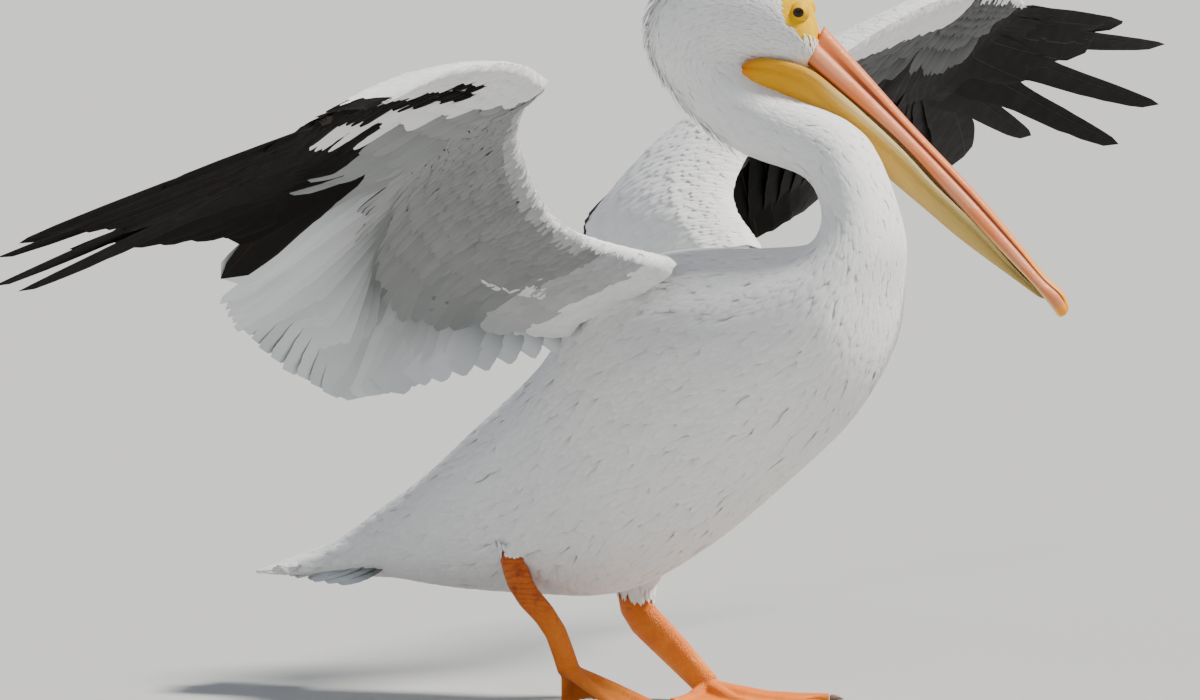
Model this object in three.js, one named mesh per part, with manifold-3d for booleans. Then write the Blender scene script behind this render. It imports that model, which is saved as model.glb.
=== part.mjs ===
// American white pelican, life size, standing with both wings raised and half spread.
// Millimetres. +X is the way the bird faces, +Y its left, +Z up. The floor is Z = 0.
// Body outlines are pairs of points in the X-Z plane. The upper neck then turns the head to
// the bird's left about an upright axis.
import * as THREE from 'three';
import { mergeVertices } from 'three/addons/utils/BufferGeometryUtils.js';
import Module from 'manifold-3d';

const wasm = await Module();
wasm.setup();

// ---- driving sizes -------------------------------------------------------------------
const GAP = 0.3;                 // clearance between neighbouring solids
const SLIVER = 0.03;             // edges shorter than this are closed up after a cut
const BODY_SIDES = 18;           // facets round the trunk, neck and head
const RINGS_PER_STATION = 3;     // rings lofted between two body stations
const BILL_SIDES = 12;
const BILL_SQUARENESS = 2.4;
const UPPER_BILL_RINGS = 13;
const LOWER_BILL_RINGS = 12;
const TAIL_RINGS = 8;
const ARM_RINGS = 13;            // along the wing, body to wrist
const HAND_RINGS = 8;            // wrist to wing tip
const THIGH_SIDES = 16;
const TARSUS_SIDES = 14;
const LEG_RINGS = 8;
const TOE_SIDES = 8;
const TOE_RINGS = 5;
const CLAW_SIDES = 6;
const CLAW_RINGS = 4;
const WEB_STEPS = 4;             // panels across a web
const WEB_HOLLOW = 0.22;         // depth of the hollow in a web's free edge, as a share
const FEATHER_SHEET = 2.2;       // thickness of a row of overlapping flight feathers
const EYE_RADIUS = 8;
const WEB_THICKNESS = 2.4;
const TOE_RADIUS = 5.2;
const CLAW_LENGTH = 13;
// [half depth, half width] from root to end
const TOE_SIZES = [[7.5, 7.5], [TOE_RADIUS, TOE_RADIUS + 1], [TOE_RADIUS * 0.8, TOE_RADIUS * 0.9]];
const CLAW_SIZES = [[3.2, 2.8], [2.6, 2.2], [0.7, 0.7]];

// ---- colours -------------------------------------------------------------------------
const finish = (color, roughness) => new THREE.MeshStandardMaterial({ color, roughness, metalness: 0 });
const WHITE_PLUMAGE = finish(0xf2f1ec, 0.85);
const BLACK_PLUMAGE = finish(0x141315, 0.6);
const BILL_HORN = finish(0xe8a27c, 0.45);
const POUCH_SKIN = finish(0xd9a02c, 0.5);
const LEG_SKIN = finish(0xe06a14, 0.5);
const CLAW_HORN = finish(0x5a4030, 0.4);
const EYE_GLOSS = finish(0x1a120e, 0.08);

const vec = (x, y, z) => new THREE.Vector3(x, y, z);
const mix = (a, b, t) => a.clone().lerp(b, t);
const smoothCurve = (points) => new THREE.CatmullRomCurve3(points, false, 'centripetal');

/** Catmull-Rom value through evenly spaced numbers, t from 0 to 1. */
function smoothValue(values, t) {
  const spline = new THREE.SplineCurve(values.map((value, i) => new THREE.Vector2(i, value)));
  return spline.getPoint(t).y;
}

// ---- solids --------------------------------------------------------------------------
/** Turns the faces of a closed indexed geometry outward. */
function facingOut(geometry) {
  const position = geometry.getAttribute('position');
  const index = Array.from(geometry.getIndex().array);
  const corner = (i) => new THREE.Vector3().fromBufferAttribute(position, index[i]);
  let volume = 0;
  for (let i = 0; i < index.length; i += 3) {
    volume += corner(i).dot(corner(i + 1).cross(corner(i + 2)));
  }
  if (volume < 0) {
    for (let i = 0; i < index.length; i += 3) {
      [index[i], index[i + 1]] = [index[i + 1], index[i]];
    }
  }
  geometry.setIndex(index);
  return geometry;
}

/** A closed solid through rings of equal point counts, capped at both ends. */
function loft(rings) {
  const count = rings[0].length;
  const points = rings.flat();
  const index = [];
  for (let r = 0; r + 1 < rings.length; r++) {
    for (let i = 0; i < count; i++) {
      const a = r * count + i;
      const b = r * count + (i + 1) % count;
      index.push(a, b, b + count, a, b + count, a + count);
    }
  }
  const lastStart = (rings.length - 1) * count;
  const capCentre = (ring) => ring.reduce((sum, p) => sum.add(p), vec(0, 0, 0)).divideScalar(count);
  points.push(capCentre(rings[0]), capCentre(rings[rings.length - 1]));
  for (let i = 0; i < count; i++) {
    const next = (i + 1) % count;
    index.push(next, i, points.length - 2);
    index.push(lastStart + i, lastStart + next, points.length - 1);
  }
  const geometry = new THREE.BufferGeometry().setFromPoints(points);
  geometry.setIndex(index);
  return facingOut(geometry);
}

function toSolid(geometry) {
  const clean = geometry.clone();
  clean.deleteAttribute('normal');
  clean.deleteAttribute('uv');
  const merged = facingOut(mergeVertices(clean, 1e-4));
  return new wasm.Manifold(new wasm.Mesh({
    numProp: 3,
    vertProperties: new Float32Array(merged.getAttribute('position').array),
    triVerts: new Uint32Array(merged.getIndex().array),
  }));
}

function toGeometry(solid) {
  const mesh = solid.getMesh();
  const geometry = new THREE.BufferGeometry();
  geometry.setAttribute('position', new THREE.BufferAttribute(new Float32Array(mesh.vertProperties), 3));
  geometry.setIndex(new THREE.BufferAttribute(new Uint32Array(mesh.triVerts), 1));
  return geometry;
}

const joined = (solids) => solids.reduce((all, solid) => all.add(solid));

/** The solid less its cutters. Where a cut leaves crumbs, only the largest piece is kept. */
function without(solid, ...cutters) {
  const rest = cutters.reduce((left, cutter) => left.subtract(cutter), solid).simplify(SLIVER);
  return rest.decompose().reduce((big, piece) => (piece.volume() > big.volume() ? piece : big));
}

/** Elliptic ring; `up` and `side` are its half axes, `square` above 2 fills its corners. */
function ellipseRing(centre, up, side, sides, square = 2) {
  const ring = [];
  for (let i = 0; i < sides; i++) {
    const angle = (i / sides) * Math.PI * 2;
    const power = 2 / square;
    const u = Math.sign(Math.cos(angle)) * Math.abs(Math.cos(angle)) ** power;
    const s = Math.sign(Math.sin(angle)) * Math.abs(Math.sin(angle)) ** power;
    ring.push(centre.clone().addScaledVector(up, u).addScaledVector(side, s));
  }
  return ring;
}

/** A limb with elliptic rings square to its path. `sizes` are [half depth, half width]. */
function limb(path, sizes, sides, ringCount, grow = 0) {
  const curve = smoothCurve(path);
  const across = vec(0, 1, 0);
  const rings = [];
  for (let i = 0; i < ringCount; i++) {
    const t = i / (ringCount - 1);
    const tangent = curve.getTangent(t);
    const fore = new THREE.Vector3().crossVectors(across, tangent).normalize();
    const side = new THREE.Vector3().crossVectors(tangent, fore).normalize();
    const depth = smoothValue(sizes.map((size) => size[0]), t) + grow;
    const width = smoothValue(sizes.map((size) => size[1]), t) + grow;
    rings.push(ellipseRing(curve.getPoint(t), fore.multiplyScalar(depth), side.multiplyScalar(width), sides));
  }
  return loft(rings);
}

// ---- trunk, neck and head: one lofted body parted by thin cuts -------------------------
// Each station is [back X, back Z, front X, front Z, half width].
const BODY_STATIONS = [
  [-288, 166, -262, 107, 44],   // rump
  [-226, 208, -203, 101, 64],
  [-164, 262, -128, 99, 84],
  [-97, 322, -30, 104, 100],    // thighs
  [-38, 400, 53, 147, 108],
  [30, 427, 133, 211, 110],     // shoulders
  [100, 431, 194, 267, 104],
  [162, 438, 235, 331, 88],     // breast
  [184, 450, 250, 396, 68],
  [186, 471, 256, 453, 50],     // foot of the neck
  [165, 497, 220, 540, 38],
  [95, 515, 146, 571, 35],
  [42, 551, 112, 588, 35],
  [5, 602, 93, 607, 39],        // nape
  [3, 647, 94, 604, 42],
  [34, 690, 101, 600, 43],      // crown
  [81, 701, 110, 595, 41],
  [123, 687, 124, 592, 37],
  [153, 661, 141, 590, 31],     // forehead
  [166, 616, 156, 592, 23],     // bill base
];
const BREAST = 7;
const NECK_MIDDLE = 10;
const NAPE = 13;
const BILL_BASE = BODY_STATIONS.length - 1;
const BODY_SQUARENESS = 2.2;
const HEAD_TURN = THREE.MathUtils.degToRad(20);
const TURN_AXIS_X = 45;

/** Turns a point about the upright axis by a share of the head's turn. */
function turned(point, share = 1) {
  const axis = vec(TURN_AXIS_X, 0, 0);
  return point.clone().sub(axis).applyAxisAngle(vec(0, 0, 1), HEAD_TURN * share).add(axis);
}

/** Back point, front point and half width of the body at a station number, whole or not. */
function bodyAt(station) {
  const t = station / BILL_BASE;
  const [backX, backZ, frontX, frontZ, width] = [0, 1, 2, 3, 4]
    .map((column) => smoothValue(BODY_STATIONS.map((row) => row[column]), t));
  return { back: vec(backX, 0, backZ), front: vec(frontX, 0, frontZ), width };
}

function bodyRing(station, shift = 0, grow = 0) {
  const { back, front, width } = bodyAt(station);
  const centre = mix(back, front, 0.5);
  const up = back.clone().sub(front).multiplyScalar(0.5);
  const along = new THREE.Vector3().crossVectors(vec(0, 1, 0), up).normalize();
  centre.addScaledVector(along, shift);
  up.setLength(up.length() + grow);
  const share = THREE.MathUtils.smoothstep(station, NECK_MIDDLE - 0.5, NAPE + 0.5);
  return ellipseRing(centre, up, vec(0, width + grow, 0), BODY_SIDES, BODY_SQUARENESS)
    .map((point) => turned(point, share));
}

/** The stretch of body between two stations, less half a cut at each parted end. */
function bodyLength(from, to, grow = 0) {
  const count = Math.round((to - from) * RINGS_PER_STATION);
  const rings = [];
  for (let i = 0; i <= count; i++) {
    const end = i === 0 ? 1 : i === count ? -1 : 0;
    const shift = end * (GAP / 2 - grow);
    rings.push(bodyRing(from + (to - from) * i / count, shift, grow));
  }
  return loft(rings);
}

// The same lengths grown by the gap, to cut their neighbours with.
const trunkClear = toSolid(bodyLength(0, BREAST, GAP));
const neckLowerClear = toSolid(bodyLength(BREAST, NECK_MIDDLE, GAP));
const neckUpperClear = toSolid(bodyLength(NECK_MIDDLE, NAPE, GAP));
const headClear = toSolid(bodyLength(NAPE, BILL_BASE, GAP));
const trunk = toSolid(bodyLength(0, BREAST));
const neckLower = without(toSolid(bodyLength(BREAST, NECK_MIDDLE)), trunkClear);
const neckUpper = without(toSolid(bodyLength(NECK_MIDDLE, NAPE)), neckLowerClear);
const headBlank = without(toSolid(bodyLength(NAPE, BILL_BASE)), neckUpperClear);

// ---- eyes ----------------------------------------------------------------------------
const EYE_CENTRE = vec(146, 25, 649);
const BOTH_SIDES = [['right', -1], ['left', 1]];

function eyeBall(side, grow = 0) {
  const centre = turned(vec(EYE_CENTRE.x, EYE_CENTRE.y * side, EYE_CENTRE.z));
  return new THREE.SphereGeometry(EYE_RADIUS + grow, 12, 8).translate(centre.x, centre.y, centre.z);
}
const head = without(headBlank, ...BOTH_SIDES.map(([, side]) => toSolid(eyeBall(side, GAP))));

// ---- bill and pouch ------------------------------------------------------------------
// Each station is [top X, top Z, bottom X, bottom Z, half width], in the X-Z plane.
const UPPER_BILL = [
  [166, 634, 153, 600, 21],
  [201, 596, 181, 577, 19],
  [249, 543, 236, 530, 16],
  [307, 483, 293, 470, 14],
  [346, 438, 334, 427, 13.5],
  [372, 406, 363, 397, 13.5],
  [388, 391, 376, 381, 12],
  [394, 376, 386, 367, 6],      // nail
];
const LOWER_BILL = [
  [91, 600, 87, 588, 30],       // gape
  [112, 605, 101, 575, 33],
  [151, 597, 131, 560, 31],
  [181, 575, 163, 532, 27],
  [235, 527, 208, 508, 21],
  [270, 490, 252, 473, 17],
  [309, 453, 293, 439, 14],
  [347, 411, 340, 405, 11],
  [372, 388, 369, 384, 7],
];

function billLoft(stations, ringCount, grow = 0) {
  const last = ringCount - 1;
  const rings = [];
  for (let i = 0; i <= last; i++) {
    const [topX, topZ, bottomX, bottomZ, width] = [0, 1, 2, 3, 4]
      .map((column) => smoothValue(stations.map((row) => row[column]), i / last));
    const top = vec(topX, 0, topZ);
    const bottom = vec(bottomX, 0, bottomZ);
    const up = top.clone().sub(bottom).multiplyScalar(0.5);
    up.setLength(up.length() + grow);
    rings.push(ellipseRing(mix(top, bottom, 0.5), up, vec(0, width + grow, 0), BILL_SIDES, BILL_SQUARENESS)
      .map((point) => turned(point)));
  }
  return loft(rings);
}

const billUpper = without(toSolid(billLoft(UPPER_BILL, UPPER_BILL_RINGS)), headClear);
const billUpperClear = toSolid(billLoft(UPPER_BILL, UPPER_BILL_RINGS, GAP));
const billLower = without(toSolid(billLoft(LOWER_BILL, LOWER_BILL_RINGS)),
  headClear, neckUpperClear, neckLowerClear, billUpperClear);

// ---- tail ----------------------------------------------------------------------------
const TAIL_STATIONS = [
  [-288, 166, -262, 107, 44],
  [-325, 145, -300, 103, 54],
  [-362, 128, -345, 102, 60],
  [-396, 112, -392, 107, 54],
];

function tailRings() {
  const rings = [];
  for (let i = 0; i < TAIL_RINGS; i++) {
    const t = i / (TAIL_RINGS - 1);
    const [topX, topZ, bottomX, bottomZ, width] = [0, 1, 2, 3, 4]
      .map((column) => smoothValue(TAIL_STATIONS.map((row) => row[column]), t));
    const top = vec(topX, 0, topZ);
    const bottom = vec(bottomX, 0, bottomZ);
    const up = top.clone().sub(bottom).multiplyScalar(0.5);
    rings.push(ellipseRing(mix(top, bottom, 0.5), up, vec(0, width, 0), BODY_SIDES, BODY_SQUARENESS));
  }
  return rings;
}
const tail = without(toSolid(loft(tailRings())), trunkClear);

// ---- wings ---------------------------------------------------------------------------
// Curves run from the body out to the wrist (arm) and from the wrist out to the wing tip (hand).
// lead is the leading edge, coverts the line where the coverts end, tips the tips of the
// overlapped flight feathers, and fingers the tip of each free primary.
const RIGHT_WING = {
  side: -1,
  arm: {
    lead: [[70, -85, 422], [-4, -150, 456], [10, -270, 538], [70, -370, 598], [125, -436, 624]],
    coverts: [[-46, -84, 352], [-120, -165, 385], [-156, -250, 412], [-90, -375, 470], [10, -500, 537]],
    tips: [[-55, -88, 345], [-149, -195, 316], [-190, -240, 299], [-211, -365, 360], [-153, -550, 420]],
    overlapped: 12,
    fingers: [],
  },
  hand: {
    lead: [[125, -436, 624], [118, -470, 640], [88, -545, 642], [45, -615, 612]],
    coverts: [[10, -500, 537], [-22, -600, 552], [0, -695, 588]],
    tips: [[-153, -550, 420], [-80, -683, 504], [-96, -760, 508], [-116, -860, 508]],
    overlapped: 6,
    fingers: [[-116, -900, 500], [-136, -960, 466], [-140, -1000, 474], [-133, -1005, 501]],
  },
};
const LEFT_WING = {
  side: 1,
  arm: {
    lead: [[70, 85, 422], [7, 150, 466], [13, 270, 548], [72, 370, 612], [110, 438, 634]],
    coverts: [[-46, 84, 352], [-150, 165, 405], [-182, 250, 432], [-80, 375, 480], [0, 490, 540]],
    tips: [[-55, 88, 345], [-160, 195, 352], [-150, 270, 340], [-98, 430, 399], [-126, 560, 407]],
    overlapped: 12,
    fingers: [],
  },
  hand: {
    lead: [[110, 438, 634], [98, 530, 622], [68, 620, 598]],
    coverts: [[0, 490, 540], [-25, 600, 520], [20, 685, 583]],
    tips: [[-126, 560, 407], [-122, 680, 433], [-112, 760, 436], [-98, 840, 430]],
    overlapped: 6,
    fingers: [[-72, 900, 446], [-26, 990, 432], [-4, 1030, 467], [-3, 1040, 523]],
  },
};
const ARM_THICKNESS = [40, 30, 26, 28, 32];
const HAND_THICKNESS = [32, 24, 10];
const CAMBER = 0.09;
const PRIMARY_START = 0.006;     // share of the hand's span left open beside the secondaries
const CLEARANCE = 3 * GAP;       // the slanting faces of a wing are grown by more to clear
// Free edge of one feather: [share of its width, share of its length]
const OVERLAPPED_EDGE = [[0, 0.95], [0.5, 1]];
const FREE_EDGE = [[0, 0.55], [0.14, 0.9], [0.5, 1], [0.86, 0.9]];
const CHORD_STEPS = [0, 0.04, 0.12, 0.3, 0.6, 1];
const CHORD_PROFILE = [0, 0.45, 0.78, 1, 0.6, 0];

const curveOf = (rows) => smoothCurve(rows.map((row) => vec(...row)));
/** Point at an even parameter between the control points, so that paired curves keep step. */
const pointOn = (curve, t) => curve.getPoint(t);

/** Upper-side normal of the wing where its chord runs from lead to rear. */
function upperNormal(wing, leadCurve, rearCurve, t) {
  const chord = pointOn(rearCurve, t).sub(pointOn(leadCurve, t));
  const before = Math.max(t - 0.02, 0);
  const after = Math.min(t + 0.02, 1);
  const middle = (q) => mix(pointOn(leadCurve, q), pointOn(rearCurve, q), 0.5);
  const span = middle(after).sub(middle(before));
  return new THREE.Vector3().crossVectors(chord, span).multiplyScalar(-wing.side).normalize();
}

/** Flesh and coverts of one wing length: rounded in front, thin at the end of the coverts. */
function wingFlesh(wing, part, thickness, ringCount, grow) {
  const lead = curveOf(part.lead);
  const rear = curveOf(part.coverts);
  const rings = [];
  const spanAt = (t) => mix(pointOn(lead, t), pointOn(rear, t), 0.5);
  for (let i = 0; i < ringCount; i++) {
    const t = i / (ringCount - 1);
    const normal = upperNormal(wing, lead, rear, t);
    const front = pointOn(lead, t);
    const chord = pointOn(rear, t).sub(front);
    front.addScaledVector(chord, -grow / chord.length());
    chord.setLength(chord.length() + 2 * grow);
    if (i === 0) front.addScaledVector(spanAt(0).sub(spanAt(0.02)).normalize(), grow);
    if (i === ringCount - 1) front.addScaledVector(spanAt(1).sub(spanAt(0.98)).normalize(), grow);
    const half = smoothValue(thickness, t) / 2;
    const thin = FEATHER_SHEET / 2;
    const surface = (k, sign) => {
      const c = CHORD_STEPS[k];
      const lift = Math.sin(Math.PI * c) * CAMBER * chord.length();
      const depth = CHORD_PROFILE[k] * half + thin * c + (k > 0 ? grow : 0);
      return front.clone().addScaledVector(chord, c).addScaledVector(normal, lift + sign * depth);
    };
    const ring = CHORD_STEPS.map((_, k) => surface(k, 1));
    for (let k = CHORD_STEPS.length - 1; k > 0; k--) ring.push(surface(k, -1));
    rings.push(ring);
  }
  return loft(rings);
}

/**
 * Where the flight feathers of one wing length stand: t along the coverts' edge, and the reach
 * from there. Overlapped feathers make a scalloped edge. Free ones are parted by deep notches.
 */
function featherStations(part, start) {
  const rear = curveOf(part.coverts);
  const tips = curveOf(part.tips);
  const total = part.overlapped + part.fingers.length;
  const closed = part.overlapped / total;
  const stations = [];
  for (let i = 0; i < part.overlapped; i++) {
    for (const [share, length] of OVERLAPPED_EDGE) {
      const t = Math.max((i + share) / total, start);
      const reach = pointOn(tips, t / closed).sub(pointOn(rear, t));
      stations.push({ t, reach: reach.multiplyScalar(length) });
    }
  }
  part.fingers.forEach((row, i) => {
    const reach = vec(...row).sub(pointOn(rear, (part.overlapped + i + 0.5) / total));
    for (const [share, length] of FREE_EDGE) {
      const t = (part.overlapped + i + share) / total;
      stations.push({ t, reach: reach.clone().multiplyScalar(length) });
    }
  });
  const last = stations[stations.length - 1];
  stations.push({ t: 1, reach: last.reach.clone().multiplyScalar(0.95) });
  return stations;
}

/** The flight feathers of one wing length as a single thin sheet. */
function featherSheet(wing, part, start = 0) {
  const lead = curveOf(part.lead);
  const rear = curveOf(part.coverts);
  const rings = featherStations(part, start).map(({ t, reach }) => {
    const normal = upperNormal(wing, lead, rear, t);
    const root = pointOn(rear, t).addScaledVector(reach, (GAP + 0.1) / reach.length());
    const at = (share, sign) => root.clone().addScaledVector(reach, share)
      .addScaledVector(normal, sign * FEATHER_SHEET / 2 * (1 - 0.35 * share));
    return [at(0, 1), at(0.5, 1), at(1, 1), at(1, -1), at(0.5, -1), at(0, -1)];
  });
  return loft(rings);
}

function wingNodes(wing) {
  const name = wing.side < 0 ? 'wing_right' : 'wing_left';
  const armFlesh = (grow) => toSolid(wingFlesh(wing, wing.arm, ARM_THICKNESS, ARM_RINGS, grow));
  const handFlesh = (grow) => toSolid(wingFlesh(wing, wing.hand, HAND_THICKNESS, HAND_RINGS, grow));
  const armClear = armFlesh(CLEARANCE);
  const handClear = handFlesh(CLEARANCE);
  const arm = without(armFlesh(0), trunkClear);
  const hand = without(handFlesh(0), armClear);
  const secondaries = without(toSolid(featherSheet(wing, wing.arm)), armClear, trunkClear);
  const primaries = without(toSolid(featherSheet(wing, wing.hand, PRIMARY_START)),
    handClear, armClear, secondaries);
  return [
    [`${name}_arm`, toGeometry(arm), WHITE_PLUMAGE],
    [`${name}_hand`, toGeometry(hand), WHITE_PLUMAGE],
    [`${name}_secondaries`, toGeometry(secondaries), WHITE_PLUMAGE],
    [`${name}_primaries`, toGeometry(primaries), BLACK_PLUMAGE],
  ];
}

// ---- legs and webbed feet --------------------------------------------------------------
// The right foot trails with its heel raised and the left foot is flat. Toes are numbered 1 to 4
// from the inner hind toe to the outer toe, and toeLift is how far their middles arch up.
// shank is the two bends between ankle and toes. Sizes are [half depth, half width].
const LEGS = {
  right: { hip: vec(-75, -62, 190), ankle: vec(-103, -75, 143), toeBase: vec(-44, -76, 40),
    shank: [vec(-94, -75, 115), vec(-61, -76, 80)],
    thighSizes: [[12, 10], [28, 24], [25, 20], [14, 12]],
    tarsusSizes: [[13, 11], [12.5, 9], [11, 8], [11, 9]],
    toes: [vec(-62, -50, 0), vec(34, -34, 0), vec(66, -84, 0), vec(52, -136, 0)], toeLift: 3 },
  left: { hip: vec(-42, 68, 160), ankle: vec(-55, 75, 99), toeBase: vec(20, 76, 14),
    shank: [vec(-52, 75, 80), vec(-20, 76, 50)],
    thighSizes: [[12, 10], [30, 24], [27, 20], [19, 13]],
    tarsusSizes: [[18, 12], [17, 10.5], [16, 9.5], [13, 9]],
    toes: [vec(6, 30, 0), vec(100, 34, 0), vec(135, 82, 0), vec(116, 134, 0)], toeLift: -2.5 },
};

const FLOOR_THICKNESS = 100;
const floorBlock = new THREE.BoxGeometry(1200, 1200, FLOOR_THICKNESS);
const underFloor = toSolid(floorBlock.translate(0, 0, -FLOOR_THICKNESS / 2));

function toePath(leg, toe) {
  const middle = mix(leg.toeBase, toe, 0.5).add(vec(0, 0, leg.toeLift));
  return [leg.toeBase, middle, toe.clone().setZ(TOE_RADIUS * 0.55)];
}

/** The web between two neighbouring toes, hollow along its free edge. */
function webPanel(leg, first, second) {
  const rows = [];
  const firstPath = smoothCurve(toePath(leg, first));
  const secondPath = smoothCurve(toePath(leg, second));
  for (let i = 0; i <= WEB_STEPS; i++) {
    const q = i / WEB_STEPS;
    const hollow = 1 - WEB_HOLLOW * Math.sin(Math.PI * q);
    const top = [];
    for (let k = 0; k <= 3; k++) {
      const reach = (k / 3) * 0.96 * hollow;
      top.push(mix(firstPath.getPoint(reach), secondPath.getPoint(reach), q));
    }
    const lower = top.map((p) => p.clone().add(vec(0, 0, -WEB_THICKNESS / 2))).reverse();
    const upper = top.map((p) => p.clone().add(vec(0, 0, WEB_THICKNESS / 2)));
    rows.push([...upper, ...lower]);
  }
  return loft(rows);
}

/** A short curved claw that carries on from the end of its toe. */
function claw(leg, toe) {
  const path = toePath(leg, toe);
  const ahead = smoothCurve(path).getTangent(1);
  const root = path[2].clone().addScaledVector(ahead, GAP);
  const knuckle = root.clone().addScaledVector(ahead, CLAW_LENGTH * 0.55);
  const point = root.clone().addScaledVector(ahead, CLAW_LENGTH).setZ(1);
  return without(toSolid(limb([root, knuckle, point], CLAW_SIZES, CLAW_SIDES, CLAW_RINGS)), underFloor);
}

function legNodes(sideName, leg) {
  const toes = leg.toes.map((toe) => toSolid(limb(toePath(leg, toe), TOE_SIZES, TOE_SIDES, TOE_RINGS)));
  const webs = [0, 1, 2].map((i) => toSolid(webPanel(leg, leg.toes[i], leg.toes[i + 1])));
  const shin = [leg.ankle, ...leg.shank, leg.toeBase];
  const thighPath = [0, 0.35, 0.7, 1].map((q) => mix(leg.hip, leg.ankle, q));
  const thighLimb = (grow) => toSolid(limb(thighPath, leg.thighSizes, THIGH_SIDES, LEG_RINGS, grow));
  const tarsusLimb = (grow) => toSolid(limb(shin, leg.tarsusSizes, TARSUS_SIDES, LEG_RINGS, grow));
  const thigh = without(thighLimb(0), trunkClear);
  const tarsus = without(tarsusLimb(0), trunkClear, thighLimb(GAP));
  const tarsusClear = tarsusLimb(GAP);
  const foot = without(joined([...toes, ...webs]), tarsusClear, underFloor);
  return [
    [`leg_${sideName}_thigh`, toGeometry(thigh), WHITE_PLUMAGE],
    [`leg_${sideName}_tarsus`, toGeometry(tarsus), LEG_SKIN],
    [`foot_${sideName}`, toGeometry(foot), LEG_SKIN],
    ...leg.toes.map((toe, i) => [`claw_${sideName}_${i + 1}`, toGeometry(claw(leg, toe)), CLAW_HORN]),
  ];
}

// ---- the whole bird --------------------------------------------------------------------
const nodes = [
  ['trunk', toGeometry(trunk), WHITE_PLUMAGE],
  ['tail', toGeometry(tail), WHITE_PLUMAGE],
  ['neck_lower', toGeometry(neckLower), WHITE_PLUMAGE],
  ['neck_upper', toGeometry(neckUpper), WHITE_PLUMAGE],
  ['head', toGeometry(head), WHITE_PLUMAGE],
  ['bill_upper', toGeometry(billUpper), BILL_HORN],
  ['bill_lower', toGeometry(billLower), POUCH_SKIN],
  ...BOTH_SIDES.map(([sideName, side]) => [`eye_${sideName}`, eyeBall(side), EYE_GLOSS]),
  ...wingNodes(RIGHT_WING),
  ...wingNodes(LEFT_WING),
  ...legNodes('right', LEGS.right),
  ...legNodes('left', LEGS.left),
];

const pelican = new THREE.Group();
for (const [name, geometry, material] of nodes) {
  const mesh = new THREE.Mesh(geometry, material);
  mesh.name = name;
  pelican.add(mesh);
}

// The origin is the middle of the bird's box, on the floor.
const box = new THREE.Box3().setFromObject(pelican);
const middle = box.getCenter(vec(0, 0, 0));
pelican.position.set(-middle.x, -middle.y, -box.min.z);

export default pelican;
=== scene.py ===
"""A life-size pelican with raised wings: skin, plumage, face, bill, legs and a plain stage."""
import math
from functools import partial

import bmesh
import bpy
import numpy as np
from bpy.props import FloatProperty, FloatVectorProperty, IntProperty, PointerProperty
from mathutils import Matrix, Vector
from mathutils.bvhtree import BVHTree


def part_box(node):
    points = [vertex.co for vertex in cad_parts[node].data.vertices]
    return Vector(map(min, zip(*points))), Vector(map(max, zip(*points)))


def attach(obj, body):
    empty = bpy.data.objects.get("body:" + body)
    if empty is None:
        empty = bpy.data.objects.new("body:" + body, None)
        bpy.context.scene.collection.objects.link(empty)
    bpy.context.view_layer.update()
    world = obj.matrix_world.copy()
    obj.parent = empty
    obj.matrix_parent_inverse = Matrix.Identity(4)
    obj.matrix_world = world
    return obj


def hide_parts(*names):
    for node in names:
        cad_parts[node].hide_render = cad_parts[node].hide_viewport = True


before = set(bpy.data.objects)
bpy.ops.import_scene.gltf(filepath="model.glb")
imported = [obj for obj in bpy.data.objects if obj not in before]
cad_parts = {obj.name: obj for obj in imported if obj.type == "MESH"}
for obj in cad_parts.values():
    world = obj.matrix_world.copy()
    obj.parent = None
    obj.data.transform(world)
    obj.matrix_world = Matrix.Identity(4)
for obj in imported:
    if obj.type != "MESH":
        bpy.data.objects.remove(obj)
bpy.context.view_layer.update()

bl_info = {
    "name": "Pelican with raised wings",
    "version": (1, 0, 0),
    "blender": (4, 5, 0),
    "location": "View3D > Sidebar > Pelican",
    "description": "Builds the skin, plumage, bill and legs of a life-size pelican round its solids",
    "category": "Add Mesh",
}

BODY = "root"
MM = 0.001
SIDES = (("right", -1), ("left", 1))

# ---- the bird's own frame, in millimetres, as its solids are drawn -----------------------
TURN_AXIS_X = 45.0                       # the head turns about an upright line here
HEAD_TURN = math.radians(20)
EYE_IN_HEAD = np.array([146.0, 25.0, 649.0])
TURN_STARTS, TURN_ENDS = 9.5, 13.5       # spine numbers between which the neck turns
# Middle of the body at each spine number: [number, X, Z, half depth, half width]
SPINE = np.array([
    [-2, -394, 110, 5, 54],              # end of the tail
    [-1, -322, 125, 20, 56],
    [0, -275, 136, 32, 44],              # rump
    [1, -214, 154, 55, 64],
    [2, -146, 180, 84, 84],
    [3, -63, 213, 114, 100],             # thighs
    [4, 7, 273, 134, 108],
    [5, 81, 319, 120, 110],              # shoulders
    [6, 147, 349, 95, 104],
    [7, 198, 384, 65, 88],               # breast
    [8, 217, 423, 43, 68],
    [9, 221, 462, 36, 50],               # foot of the neck
    [10, 192, 518, 35, 38],
    [11, 120, 543, 38, 35],
    [12, 77, 569, 40, 35],
    [13, 49, 604, 44, 39],               # nape
    [14, 48, 625, 50, 42],
    [15, 67, 645, 56, 43],               # crown
    [16, 95, 648, 55, 41],
    [17, 123, 639, 47, 37],
    [18, 147, 625, 36, 31],
    [19, 161, 604, 13, 23],              # bill base
], float)


def turned(points, share=1.0):
    """Points turned about the upright axis by a share of the head's turn."""
    points = np.array(points, float)
    angle = HEAD_TURN * np.asarray(share, float)
    x, y = points[..., 0] - TURN_AXIS_X, points[..., 1].copy()
    points[..., 0] = TURN_AXIS_X + x * np.cos(angle) - y * np.sin(angle)
    points[..., 1] = x * np.sin(angle) + y * np.cos(angle)
    return points


def box_middle(node):
    low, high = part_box(node)
    return np.array((low + high) / 2)


EYES = {side: box_middle(f"eye_{side}") for side, _ in SIDES}
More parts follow.
